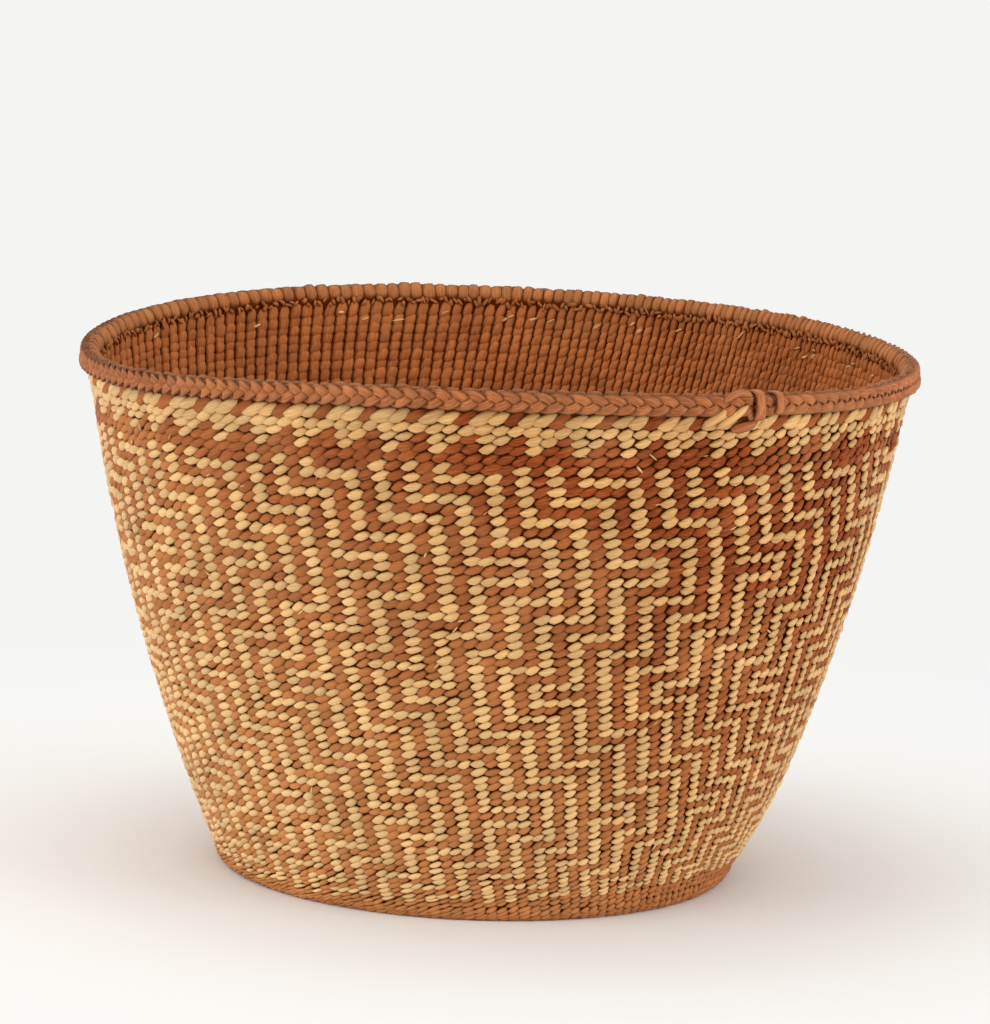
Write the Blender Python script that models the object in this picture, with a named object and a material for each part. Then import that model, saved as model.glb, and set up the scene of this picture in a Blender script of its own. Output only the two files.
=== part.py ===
"""A twined storage basket: a flat base, a flaring figured wall and a braided rim.

Metres, +Z up. The origin is the centre of the base, on the surface that the basket stands on.
Each ring-shaped piece is a closed loop of sections swept round the basket's slightly oval plan.
"""

import math

import bmesh
import bpy
from mathutils import Vector

# Height and radii of the wall's outer face, before the oval of the plan is added
RIM_HEIGHT = 0.1862
CONTACT_RADIUS = 0.0910
FOOT_RADIUS = 0.0925
BELLY_RADIUS = 0.1265
SHOULDER_RADIUS = 0.1481

# Oval and three-sided swing of the plan, in metres of radius, and the way each one points
RIM_OVAL = 0.0097
RIM_OVAL_ANGLE = math.radians(118.9)
RIM_SWING = 0.0025
RIM_SWING_ANGLE = math.radians(-44.8)
BASE_OVAL = 0.0029
BASE_OVAL_ANGLE = math.radians(-50.0)
OVAL_GROWTH = 1.6

# Near the ground the plan moves towards -X and widens towards -Y and +Y. This fades out upwards.
FOOT_SHIFT = 0.0022
FOOT_SHIFT_ANGLE = math.radians(188.0)
FOOT_OVAL = 0.0030
FOOT_OVAL_ANGLE = math.radians(85.0)
FOOT_REACH = 0.046

# The rim's line rises and dips by a few millimetres, and the base sits a little off centre
RIM_TILT = 0.0025
RIM_TILT_ANGLE = math.radians(8.0)
RIM_SADDLE = 0.0023
RIM_SADDLE_ANGLE = math.radians(97.0)
RIM_WAVE = 0.0012
RIM_WAVE_ANGLE = math.radians(18.8)
RIM_SHIFT = 0.0025

# Layers of the wall, from the outer face inwards, and the clearance between neighbours.
# A straight piece that lies across a faceted ring keeps some further room.
SKIN_THICKNESS = 0.0019
WARP_THICKNESS = 0.0017
GAP = 0.0003
FACET_ROOM = 0.0003

# Base and foot
BASE_THICKNESS = 0.0032
START_SIZE = 0.0176
START_WARPS = 4
START_PLY = 0.0014
START_GROOVE = 0.0004
FOOT_ROUNDING = 0.0054
FOOT_LAP = 0.0050
FOOT_MARGIN = 0.0004
FOOT_WEDGE = 0.0022

# Bands of the wall under the rim
BORDER_DEPTH = 0.0135
EDGE_ROW_DEPTH = 0.0040
EDGE_ROW_BULGE = 0.0009

# The bent-over warp ends that fill the rim, and their trimmed tips inside
CORE_OUTER_INSET = 0.0010
CORE_INNER_SWELL = 0.0004
CORE_TOP_DROP = 0.0006
TIP_DEPTH = 0.0022
TIP_THICKNESS = 0.0008

# Braid of three flat strands along the outside of the rim
BRAID_LOBES = 171
STRANDS = 3
STRAND_WIDTH = 0.0026
STRAND_THICKNESS = 0.0008
BRAID_HALF_HEIGHT = 0.0028
BRAID_RISE = 0.00165
BRAID_LEAN = math.radians(6.0)
STEPS_PER_PERIOD = 6

# Splice of the braid: a strap and a second turn laid over the rim, and a pale strand tucked up
SPLICE_ANGLE = math.radians(301.5)
STRAP_WIDTH = 0.0034
STRAP_THICKNESS = 0.0009
STRAP_DROP = 0.0092
STRAP_INNER_DROP = 0.0045
STRAP_SHOULDER = 0.0014
STRAP_CROWN = 0.0002
WRAP_ANGLE = math.radians(304.4)
WRAP_WIDTH = 0.0030
WRAP_DROP = 0.0072
TUCK_ANGLE = math.radians(298.3)
TUCK_LENGTH = 0.0078
TUCK_WIDTH = 0.0024
TUCK_SLOPE = math.radians(42.0)

# Inside, the warps stand out as ribs, one to each facet of the wall, for three warps or so
RIB_DEPTH = 0.0008
RIB_STEPS = 4

# Facets round the basket and up its wall, where they grow taller upwards
SEGMENTS = 56
FIGURE_STEPS = 4
STEP_GROWTH = 1.2

BROWN_WEFT = ("spruce_root_brown", (0.40, 0.165, 0.075), 0.62)
RED_WARP = ("warp_red_brown", (0.34, 0.125, 0.055), 0.66)
FIGURED = ("figured_weft", (0.56, 0.33, 0.155), 0.58)
STRAW = ("straw_overlay", (0.74, 0.52, 0.25), 0.45)
BRAID = ("braid_brown", (0.43, 0.19, 0.09), 0.55)
CUT_ENDS = ("cut_ends", (0.22, 0.09, 0.045), 0.75)


def clear_scene():
    """Remove every object, so that the file holds the basket alone."""
    for item in list(bpy.data.objects):
        bpy.data.objects.remove(item, do_unlink=True)


def finish_material(finish):
    """Return the material of a finish, making it on first use."""
    name, colour, roughness = finish
    material = bpy.data.materials.get(name)
    if material is None:
        material = bpy.data.materials.new(name)
        material.use_nodes = True
        shader = material.node_tree.nodes["Principled BSDF"]
        shader.inputs["Base Color"].default_value = (*colour, 1.0)
        shader.inputs["Roughness"].default_value = roughness
        shader.inputs["Metallic"].default_value = 0.0
    return material


def wave(amount, order, angle, towards):
    """A swing of the plan that repeats a number of times round the basket."""
    return amount * math.cos(order * (angle - towards))


def growth(height):
    """Share of the rim's shape that the plan has reached at a height."""
    return max(0.0, height / RIM_HEIGHT) ** OVAL_GROWTH


def foot_swing(angle, height):
    """How far the plan stands out near the ground at an angle and a height."""
    fade = max(0.0, 1.0 - height / FOOT_REACH) ** 2
    swing = wave(FOOT_SHIFT, 1, angle, FOOT_SHIFT_ANGLE) + wave(FOOT_OVAL, 2, angle, FOOT_OVAL_ANGLE)
    return swing * fade


def plan_swing(angle, height):
    """How far the plan stands out from its mean radius at an angle and a height."""
    share = growth(height)
    rim = wave(RIM_OVAL, 2, angle, RIM_OVAL_ANGLE) + wave(RIM_SWING, 3, angle, RIM_SWING_ANGLE)
    base = wave(BASE_OVAL, 2, angle, BASE_OVAL_ANGLE)
    return rim * share + base * (1.0 - share) + foot_swing(angle, height)


def lift(angle, height):
    """Rise of the level line through a height, nothing at the base and full at the rim."""
    rise = wave(RIM_TILT, 1, angle, RIM_TILT_ANGLE)
    rise += wave(RIM_SADDLE, 2, angle, RIM_SADDLE_ANGLE)
    rise += wave(RIM_WAVE, 3, angle, RIM_WAVE_ANGLE)
    return rise * (height / RIM_HEIGHT) ** 2


def mean_radius(height):
    """Mean outer radius of the wall: a curve through the foot, the belly and the shoulder."""
    t = height / RIM_HEIGHT
    foot = FOOT_RADIUS * (1.0 - t) * (1.0 - 2.0 * t)
    belly = 4.0 * BELLY_RADIUS * t * (1.0 - t)
    return foot + belly + SHOULDER_RADIUS * t * (2.0 * t - 1.0)


def outer_radius(height):
    """Mean outer radius with the foot's rounding, which rolls in to the contact ring."""
    if height >= FOOT_ROUNDING:
        return mean_radius(height)
    roll = 1.0 - height / FOOT_ROUNDING
    reach = mean_radius(FOOT_ROUNDING) - CONTACT_RADIUS
    return CONTACT_RADIUS + reach * math.sqrt(1.0 - roll * roll)


def shell_point(angle, height, radius):
    """Place a point of a given mean radius at an angle and a height."""
    reach = radius + plan_swing(angle, height)
    shift = RIM_SHIFT * (height / RIM_HEIGHT)
    return Vector((
        shift + reach * math.cos(angle),
        reach * math.sin(angle),
        height + lift(angle, height),
    ))


def wall_point(angle, height, inset):
    """Place a point at a depth inside the wall's outer face."""
    return shell_point(angle, height, outer_radius(height) - inset)


def ring(height, inset):
    """A closed loop of points round the wall at a height and a depth."""
    turn = 2.0 * math.pi / SEGMENTS
    return [wall_point(i * turn, height, inset) for i in range(SEGMENTS)]


def ring_of_radius(height, radius):
    """A closed loop of points round the basket at a height and a mean radius."""
    turn = 2.0 * math.pi / SEGMENTS
    return [shell_point(i * turn, height, radius) for i in range(SEGMENTS)]


def add_object(name, mesh_data, finish, smooth_angle=35.0):
    """Make a mesh object from a bmesh, with outward faces and soft shading."""
    bmesh.ops.recalc_face_normals(mesh_data, faces=mesh_data.faces)
    mesh = bpy.data.meshes.new(name)
    mesh_data.to_mesh(mesh)
    mesh_data.free()
    mesh.materials.append(finish_material(finish))
    mesh.shade_smooth()
    mesh.set_sharp_from_angle(angle=math.radians(smooth_angle))
    piece = bpy.data.objects.new(name, mesh)
    bpy.context.scene.collection.objects.link(piece)
    return piece


def bridge(mesh_data, first, second, closed=True):
    """Join two rows of vertices with quads."""
    count = len(first)
    last = count if closed else count - 1
    for i in range(last):
        j = (i + 1) % count
        mesh_data.faces.new((first[i], first[j], second[j], second[i]))


def ring_solid(name, loops, finish):
    """Make a ring-shaped body: the loops, in order, go once round its cross-section."""
    mesh_data = bmesh.new()
    rows = [[mesh_data.verts.new(p) for p in loop] for loop in loops]
    for k, row in enumerate(rows):
        bridge(mesh_data, row, rows[(k + 1) % len(rows)])
    return add_object(name, mesh_data, finish)


def ribbed_ring(height, inset):
    """A closed loop of points that rises to a rib in the middle of every facet of the wall."""
    step = math.pi / SEGMENTS
    points = []
    for i in range(2 * SEGMENTS):
        depth = inset if i % 2 else inset - RIB_DEPTH
        points.append(wall_point(i * step, height, depth))
    return points


def close_ribbed_edge(mesh_data, plain, ribbed):
    """Join a plain row of vertices with a ribbed one, which has twice as many."""
    for i in range(SEGMENTS):
        j = (i + 1) % SEGMENTS
        left, middle, right = ribbed[2 * i], ribbed[2 * i + 1], ribbed[2 * j]
        mesh_data.faces.new((plain[i], left, middle))
        mesh_data.faces.new((plain[i], middle, plain[j]))
        mesh_data.faces.new((plain[j], middle, right))


def ribbed_shell(name, outer_loops, inner_loops, finish):
    """Make a closed shell with a plain outer face and a ribbed inner one, both given upwards."""
    mesh_data = bmesh.new()
    outer = [[mesh_data.verts.new(p) for p in loop] for loop in outer_loops]
    inner = [[mesh_data.verts.new(p) for p in loop] for loop in inner_loops]
    for rows in (outer, inner):
        for lower, upper in zip(rows, rows[1:]):
            bridge(mesh_data, lower, upper)
    close_ribbed_edge(mesh_data, outer[0], inner[0])
    close_ribbed_edge(mesh_data, outer[-1], inner[-1])
    return add_object(name, mesh_data, finish, smooth_angle=20.0)


def tube_solid(name, sections, finish, smooth_angle=50.0):
    """Make an open strip or strand: each section is a small closed loop of points."""
    mesh_data = bmesh.new()
    rows = [[mesh_data.verts.new(p) for p in section] for section in sections]
    for k in range(len(rows) - 1):
        bridge(mesh_data, rows[k], rows[k + 1])
    mesh_data.faces.new(rows[0])
    mesh_data.faces.new(list(reversed(rows[-1])))
    return add_object(name, mesh_data, finish, smooth_angle)


def heights_between(low, high, steps):
    """Heights from low to high, both ends included, with steps that grow upwards."""
    return [low + (high - low) * (k / steps) ** STEP_GROWTH for k in range(steps + 1)]


def layered_wall(name, low, high, steps, outer_inset, thickness, finish):
    """Make a closed band of the wall between two heights."""
    heights = heights_between(low, high, steps)
    loops = [ring(h, outer_inset) for h in heights]
    loops += [ring(h, outer_inset + thickness) for h in reversed(heights)]
    return ring_solid(name, loops, finish)


def braid_half_width():
    """Half of the braid's height, from its middle line to a strand's outer edge."""
    return BRAID_HALF_HEIGHT + STRAND_WIDTH / 2.0


def wall_top():
    """Height at which the wall ends and the rim begins, just under the braid."""
    return RIM_HEIGHT - 2.0 * braid_half_width() - GAP


def edge_row_base():
    """Height of the coarse row's lower side."""
    return wall_top() - EDGE_ROW_DEPTH


def border_base():
    """Height of the border's lower side."""
    return edge_row_base() - BORDER_DEPTH


def base_edge_radius():
    """Outer radius of the flat base, inside the foot's lap."""
    return CONTACT_RADIUS - FOOT_LAP


def start_ply(name, low, turned):
    """Make one ply of the start: four warps laid side by side in a square."""
    half = START_SIZE / 2.0
    pitch = START_SIZE / START_WARPS
    top = low + START_PLY
    outline = [(-half, low), (half, low)]
    for k in range(START_WARPS):
        right = half - k * pitch
        outline.append((right, top - START_GROOVE))
        outline.append((right - pitch * 0.3, top))
        outline.append((right - pitch * 0.7, top))
    outline.append((-half, top - START_GROOVE))
    sections = []
    for along in (-half, half):
        if turned:
            sections.append([Vector((x, along, z)) for x, z in outline])
        else:
            sections.append([Vector((along, x, z)) for x, z in outline])
    return tube_solid(name, sections, RED_WARP)


def build_start():
    """Make the crossed warps at the middle of the base."""
    start_ply("start_warps_lower", 0.0, turned=False)
    start_ply("start_warps_upper", START_PLY + GAP, turned=True)


def build_base():
    """Make the flat base, with a square opening that the start fills."""
    turn = 2.0 * math.pi / SEGMENTS
    half = START_SIZE / 2.0 + GAP
    square = []
    for i in range(SEGMENTS):
        c, s = math.cos(i * turn), math.sin(i * turn)
        reach = half / max(abs(c), abs(s))
        square.append((reach * c, reach * s))
    inner_low = [Vector((x, y, 0.0)) for x, y in square]
    inner_high = [Vector((x, y, BASE_THICKNESS)) for x, y in square]
    edge = base_edge_radius() - GAP
    outer_low = ring_of_radius(0.0, edge)
    outer_high = [Vector((p.x, p.y, BASE_THICKNESS)) for p in outer_low]
    ring_solid("base_disc", [inner_low, outer_low, outer_high, inner_high], BROWN_WEFT)


def foot_top(angle):
    """Height of the plain foot's upper edge, which is highest on the +X side."""
    return FOOT_ROUNDING + FOOT_MARGIN + FOOT_WEDGE * (1.0 + math.cos(angle))


def tilted_ring(offset, inset):
    """A loop along the foot's upper edge."""
    turn = 2.0 * math.pi / SEGMENTS
    return [wall_point(i * turn, foot_top(i * turn) + offset, inset) for i in range(SEGMENTS)]


def build_foot():
    """Make the plain foot, which turns under the wall and laps the base."""
    lap = base_edge_radius()
    shelf = BASE_THICKNESS
    shelf_radius = outer_radius(shelf) - SKIN_THICKNESS
    lap_low = ring_of_radius(0.0, lap)
    lap_high = [Vector((p.x, p.y, shelf)) for p in lap_low]
    loops = [
        lap_low,
        ring(0.0, 0.0),
        ring(FOOT_ROUNDING * 0.3, 0.0),
        ring(FOOT_ROUNDING, 0.0),
        tilted_ring(0.0, 0.0),
        tilted_ring(0.0, SKIN_THICKNESS),
        ring(FOOT_ROUNDING, SKIN_THICKNESS),
        ring_of_radius(shelf, shelf_radius),
        lap_high,
    ]
    ring_solid("foot_band", loops, BROWN_WEFT)


def build_wall():
    """Make the warps' inner shell, the figured wall, the border and the coarse edge row."""
    figure_heights = heights_between(FOOT_ROUNDING, border_base() - GAP, FIGURE_STEPS)[1:]
    warp_inset = SKIN_THICKNESS + GAP
    warp_low = BASE_THICKNESS + GAP
    warp_top = wall_top() - GAP
    outer_loops = [ring(warp_low, warp_inset), ring(FOOT_ROUNDING, warp_inset), tilted_ring(0.0, warp_inset)]
    outer_loops += [ring(h, warp_inset) for h in figure_heights + [warp_top]]
    rib_heights = heights_between(warp_low, warp_top, RIB_STEPS)
    inner_loops = [ribbed_ring(h, warp_inset + WARP_THICKNESS) for h in rib_heights]
    ribbed_shell("wall_warps", outer_loops, inner_loops, RED_WARP)

    loops = [tilted_ring(GAP, 0.0)]
    loops += [ring(h, 0.0) for h in figure_heights]
    loops += [ring(h, SKIN_THICKNESS) for h in reversed(figure_heights)]
    loops += [tilted_ring(GAP, SKIN_THICKNESS)]
    ring_solid("figured_wall", loops, FIGURED)

    top = edge_row_base() - GAP
    layered_wall("border_band", border_base(), top, 1, 0.0, SKIN_THICKNESS, STRAW)

    low, high = edge_row_base(), wall_top() - GAP
    third = (high - low) / 3.0
    loops = [
        ring(low, 0.0),
        ring(low + third, -EDGE_ROW_BULGE),
        ring(high - third, -EDGE_ROW_BULGE),
        ring(high, 0.0),
        ring(high, SKIN_THICKNESS),
        ring(low, SKIN_THICKNESS),
    ]
    ring_solid("edge_row", loops, STRAW)


def core_inner_inset():
    """Depth of the rim core's inner face, in line with the warps below it."""
    return SKIN_THICKNESS + GAP + WARP_THICKNESS


def build_rim_core():
    """Make the bundle of bent-over warp ends and the row of their trimmed tips."""
    low = wall_top()
    top = RIM_HEIGHT - CORE_TOP_DROP
    inner = core_inner_inset()
    depth = top - low
    loops = [
        ring(low, CORE_OUTER_INSET),
        ring(top - depth * 0.2, CORE_OUTER_INSET),
        ring(top, CORE_OUTER_INSET + (inner - CORE_OUTER_INSET) * 0.35),
        ring(top - depth * 0.1, inner - (inner - CORE_OUTER_INSET) * 0.15),
        ring(top - depth * 0.45, inner + CORE_INNER_SWELL),
        ring(low, inner),
    ]
    ring_solid("rim_core", loops, BRAID)
    tip_top = low - GAP
    tip_inset = inner + GAP
    layered_wall("trimmed_ends", tip_top - TIP_DEPTH, tip_top, 1, tip_inset, TIP_THICKNESS, CUT_ENDS)


def braid_centre_inset():
    """Depth of the braid's middle line, which lies outside the core (so it is negative)."""
    reach = BRAID_RISE * math.sin(math.radians(60.0)) + STRAND_THICKNESS / 2.0
    return CORE_OUTER_INSET - GAP - reach - braid_half_width() * math.sin(BRAID_LEAN)


def rim_frame(angle, height, inset):
    """Position, forward, upward and outward directions of a line that runs round the rim."""
    step = 0.001
    here = wall_point(angle, height, inset)
    forward = (wall_point(angle + step, height, inset) - wall_point(angle - step, height, inset))
    forward.normalize()
    up = Vector((0.0, 0.0, 1.0))
    out = forward.cross(up).normalized()
    up = out.cross(forward).normalized()
    return here, forward, up, out


def braid_point(angle, phase):
    """Place the middle of a strand. It runs down over the braid's upper half and up over the lower."""
    height = RIM_HEIGHT - braid_half_width()
    here, _, up, out = rim_frame(angle, height, braid_centre_inset())
    side = up * math.cos(BRAID_LEAN) - out * math.sin(BRAID_LEAN)
    face = out * math.cos(BRAID_LEAN) + up * math.sin(BRAID_LEAN)
    across = BRAID_HALF_HEIGHT * math.sin(phase)
    rise = -BRAID_RISE * math.sin(2.0 * phase)
    return here + side * across + face * rise, face


def build_braid():
    """Make the three interlaced strands; each runs once round and ends at the splice."""
    periods = BRAID_LOBES // STRANDS
    stations = periods * STEPS_PER_PERIOD
    step = 2.0 * math.pi / stations
    phase_step = 2.0 * math.pi / STEPS_PER_PERIOD
    half_width = STRAND_WIDTH / 2.0
    half_thickness = STRAND_THICKNESS / 2.0
    for strand in range(STRANDS):
        lag = 2.0 * math.pi * strand / STRANDS + math.radians(30.0)
        path = []
        for k in range(stations + 1):
            path.append(braid_point(SPLICE_ANGLE + k * step, k * phase_step + lag))
        sections = []
        for k in range(1, stations):
            centre, face = path[k]
            forward = (path[k + 1][0] - path[k - 1][0]).normalized()
            width = face.cross(forward).normalized() * half_width
            depth = forward.cross(width).normalized() * half_thickness
            sections.append([
                centre + width,
                centre + depth,
                centre - width,
                centre - depth,
            ])
        tube_solid(f"braid_strand_{strand + 1}", sections, BRAID, smooth_angle=60.0)


def strap_path(drop):
    """Route of a strap over the rim: up inside the core, over the braid and down outside."""
    inside = core_inner_inset() + CORE_INNER_SWELL + GAP + FACET_ROOM + STRAP_THICKNESS / 2.0
    face_reach = BRAID_RISE * math.sin(math.radians(60.0)) + STRAND_THICKNESS / 2.0
    lean_reach = braid_half_width() * math.sin(BRAID_LEAN)
    outside = braid_centre_inset() - face_reach - lean_reach - GAP - STRAP_THICKNESS / 2.0
    top = RIM_HEIGHT + GAP + STRAP_THICKNESS / 2.0
    middle = (inside + outside) / 2.0
    return [
        (inside, RIM_HEIGHT - STRAP_INNER_DROP),
        (inside, RIM_HEIGHT - STRAP_SHOULDER),
        (inside * 0.75 + middle * 0.25, top),
        (middle, top + STRAP_CROWN),
        (outside * 0.75 + middle * 0.25, top),
        (outside, RIM_HEIGHT - STRAP_SHOULDER),
        (outside, RIM_HEIGHT - drop),
    ]


def build_strap(name, angle, width, drop):
    """Make a flat strap that is laid over the rim and binds the braid."""
    route = []
    for inset, height in strap_path(drop):
        route.append(rim_frame(angle, height, inset))
    sections = []
    for k, (here, forward, _, _) in enumerate(route):
        before = route[max(0, k - 1)][0]
        after = route[min(len(route) - 1, k + 1)][0]
        along = (after - before).normalized()
        depth = along.cross(forward).normalized() * (STRAP_THICKNESS / 2.0)
        side = forward * (width / 2.0)
        sections.append([here + side + depth, here - side + depth, here - side - depth, here + side - depth])
    tube_solid(name, sections, BRAID)


def build_tuck():
    """Make the pale strand that is tucked up under the braid beside the strap."""
    height = wall_top() - EDGE_ROW_DEPTH * 0.45
    inset = -EDGE_ROW_BULGE - GAP - STRAP_THICKNESS / 2.0
    here, forward, up, out = rim_frame(TUCK_ANGLE, height, inset)
    along = forward * math.cos(TUCK_SLOPE) + up * math.sin(TUCK_SLOPE)
    across = out.cross(along).normalized()
    sections = []
    for share, width in ((-0.5, 0.35), (-0.2, 1.0), (0.25, 1.0), (0.5, 0.5)):
        middle = here + along * (TUCK_LENGTH * share)
        side = across * (TUCK_WIDTH * width / 2.0)
        depth = out * (STRAP_THICKNESS / 2.0)
        sections.append([middle + side, middle + depth, middle - side, middle - depth])
    tube_solid("tuck_strand", sections, STRAW)


def main():
    """Build the whole basket."""
    clear_scene()
    build_start()
    build_base()
    build_foot()
    build_wall()
    build_rim_core()
    build_braid()
    build_strap("splice_strap", SPLICE_ANGLE, STRAP_WIDTH, STRAP_DROP)
    build_strap("splice_wrap", WRAP_ANGLE, WRAP_WIDTH, WRAP_DROP)
    build_tuck()


main()
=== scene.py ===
"""Looks of a twined storage basket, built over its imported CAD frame.

The wall is woven stitch by stitch on one lattice of columns (warps) and rows (wefts). Geometry
Nodes lay closed stitch shapes on guide points, and swept strips make the braid and its splice.
Lengths are metres, +Z is up, and the photographed side faces -Y.
"""

from __future__ import annotations

import logging
import math
from dataclasses import dataclass, field
from enum import Enum

import bpy
import numpy as np
from mathutils import Matrix, Vector

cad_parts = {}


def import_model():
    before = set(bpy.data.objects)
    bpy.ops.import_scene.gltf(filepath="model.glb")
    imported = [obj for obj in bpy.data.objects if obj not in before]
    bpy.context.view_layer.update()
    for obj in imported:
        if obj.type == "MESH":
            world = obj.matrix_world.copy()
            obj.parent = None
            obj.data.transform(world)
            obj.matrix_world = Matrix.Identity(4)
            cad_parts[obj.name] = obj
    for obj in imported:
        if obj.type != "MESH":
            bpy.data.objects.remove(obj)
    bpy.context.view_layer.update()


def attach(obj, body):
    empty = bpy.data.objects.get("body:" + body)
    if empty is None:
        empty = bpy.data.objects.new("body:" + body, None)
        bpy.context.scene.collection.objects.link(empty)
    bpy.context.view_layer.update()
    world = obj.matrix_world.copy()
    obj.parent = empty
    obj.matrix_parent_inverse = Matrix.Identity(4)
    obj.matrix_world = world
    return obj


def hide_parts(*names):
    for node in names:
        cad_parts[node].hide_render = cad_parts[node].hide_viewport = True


LOG = logging.getLogger("basket")
MM = 0.001
BODY = "root"
TURN = 2.0 * math.pi
Spans = tuple[tuple[float, float], tuple[float, float], tuple[float, float]]


# Enums


class Slot(Enum):
    """The record's material slots."""

    WEFT = "weft_brown"
    WARP = "warp_red_brown"
    STRAW = "straw_overlay"
    BRAID = "braid_brown"
    CUT = "cut_ends"


class Thread(Enum):
    """What a stitch shows on its face."""

    STRAW = "straw"
    ROOT = "root"


class Side(Enum):
    """Which face of the woven wall a stitch lies on, as the sign of its outward direction."""

    OUTSIDE = 1.0
    INSIDE = -1.0


# Form of the basket


@dataclass(frozen=True)
class Swing:
    """A cosine wave round the basket.

    Attributes:
        amount: Height of the wave, in metres.
        order: How many times it repeats round the basket.
        towards: Angle of one of its crests, in degrees.
    """

    amount: float
    order: int
    towards: float

    def at(self, angle: np.ndarray) -> np.ndarray:
        """Return the wave's value at each angle."""
        return self.amount * np.cos(self.order * (angle - math.radians(self.towards)))


@dataclass(frozen=True)
class WallForm:
    """Outer surface of the basket, from the rim down round the foot and in under the base.

    A level is a height down to the foot's rounding. Below that it goes on as a length along
    the surface, round the foot and then inwards under the base.
    """

    rim_height: float = 0.1862
    contact_radius: float = 0.0910
    foot_radius: float = 0.0925
    belly_radius: float = 0.1265
    shoulder_radius: float = 0.1481
    rounding: float = 0.0054
    foot_reach: float = 0.046
    growth: float = 1.6
    shift: float = 0.0025
    rim_plan: tuple[Swing, ...] = (Swing(0.0097, 2, 118.9), Swing(0.0025, 3, -44.8))
    base_plan: tuple[Swing, ...] = (Swing(0.0029, 2, -50.0),)
    foot_plan: tuple[Swing, ...] = (Swing(0.0022, 1, 188.0), Swing(0.0030, 2, 85.0))
    rim_line: tuple[Swing, ...] = (
        Swing(0.0025, 1, 8.0),
        Swing(0.0023, 2, 97.0),
        Swing(0.0012, 3, 18.8),
    )

    def mean_radius(self, height: np.ndarray) -> np.ndarray:
        """Return the wall's mean radius, before the foot's rounding."""
        t = height / self.rim_height
        foot = self.foot_radius * (1.0 - t) * (1.0 - 2.0 * t)
        belly = 4.0 * self.belly_radius * t * (1.0 - t)
        return foot + belly + self.shoulder_radius * t * (2.0 * t - 1.0)

    def roll_reach(self) -> float:
        """Return how far the foot's rounding rolls in."""
        return float(self.mean_radius(np.float64(self.rounding))) - self.contact_radius

    def roll_length(self) -> float:
        """Return the length of the foot's rounding along the surface."""
        return math.pi / 2.0 * (self.roll_reach() + self.rounding) / 2.0

    def contact_level(self) -> float:
        """Return the level at which the surface meets the ground."""
        return self.rounding - self.roll_length()

    def profile(self, level: np.ndarray) -> tuple[np.ndarray, np.ndarray]:
        """Return the mean radius and the height of a level.

        Args:
            level: Levels, in metres.

        Returns:
            Radii and heights, of the same shape.
        """
        level = np.asarray(level, float)
        along = self.rounding - level
        roll = np.clip(along / self.roll_length(), 0.0, 1.0) * math.pi / 2.0
        under = np.maximum(along - self.roll_length(), 0.0)
        rolled = self.contact_radius + self.roll_reach() * np.cos(roll) - under
        radius = np.where(along <= 0.0, self.mean_radius(np.maximum(level, 0.0)), rolled)
        height = np.where(along <= 0.0, level, self.rounding * (1.0 - np.sin(roll)))
        return radius, height

    def place(self, angle: np.ndarray, height: np.ndarray, radius: np.ndarray) -> np.ndarray:
        """Return points of a given mean radius.

        Args:
            angle: Angles round the basket, in radians.
            height: Heights before the rim line's rise and dip.
            radius: Mean radii.

        Returns:
            Points, as an array whose last axis is x, y, z.
        """
        share = np.maximum(height / self.rim_height, 0.0) ** self.growth
        rim = sum(swing.at(angle) for swing in self.rim_plan)
        base = sum(swing.at(angle) for swing in self.base_plan)
        foot = sum(swing.at(angle) for swing in self.foot_plan)
        fade = np.clip(1.0 - height / self.foot_reach, 0.0, 1.0) ** 2
        near_middle = np.clip(radius / self.contact_radius, 0.0, 1.0)
        reach = radius + (rim * share + base * (1.0 - share) + foot * fade) * near_middle
        lift = sum(swing.at(angle) for swing in self.rim_line) * (height / self.rim_height) ** 2
        x = self.shift * height / self.rim_height + reach * np.cos(angle)
        return np.stack([x, reach * np.sin(angle), height + lift], axis=-1)

    def surface(self, angle: np.ndarray, level: np.ndarray) -> np.ndarray:
        """Return points of the outer surface."""
        radius, height = self.profile(level)
        return self.place(angle, height, radius)

    def outward(self, angle: np.ndarray, level: np.ndarray) -> np.ndarray:
        """Return unit vectors that point out of the surface."""
        small = 0.0004
        round_way = self.surface(angle + small, level) - self.surface(angle - small, level)
        up_way = self.surface(angle, level + small) - self.surface(angle, level - small)
        return unit(np.cross(round_way, up_way))

    def inset(self, angle: np.ndarray, level: np.ndarray, depth: float) -> np.ndarray:
        """Return points at a depth inside the outer surface."""
        return self.surface(angle, level) - depth * self.outward(angle, level)

    def lying(self, angle: np.ndarray, level: np.ndarray, tilt: np.ndarray) -> tuple[np.ndarray, np.ndarray]:
        """Return directions that lie on the surface, and those that point out of it.

        Args:
            angle: Angles, in radians.
            level: Levels, in metres.
            tilt: How far each direction turns up from the way round the basket, in radians.

        Returns:
            The directions, and unit vectors that point outwards.
        """
        small = 0.01
        outward = self.outward(angle, level)
        forward = unit(self.surface(angle + small, level) - self.surface(angle - small, level))
        upward = np.cross(outward, forward)
        return forward * np.cos(tilt)[:, None] + upward * np.sin(tilt)[:, None], outward


def unit(vectors: np.ndarray) -> np.ndarray:
    """Return the vectors at length one."""
    return vectors / np.linalg.norm(vectors, axis=-1, keepdims=True)


def low_waves(parts: tuple[float, float, float], angle: np.ndarray) -> np.ndarray:
    """Return the waves cos a, cos 2a and sin 2a, each times its part, added up."""
    return parts[0] * np.cos(angle) + parts[1] * np.cos(2.0 * angle) + parts[2] * np.sin(2.0 * angle)


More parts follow.
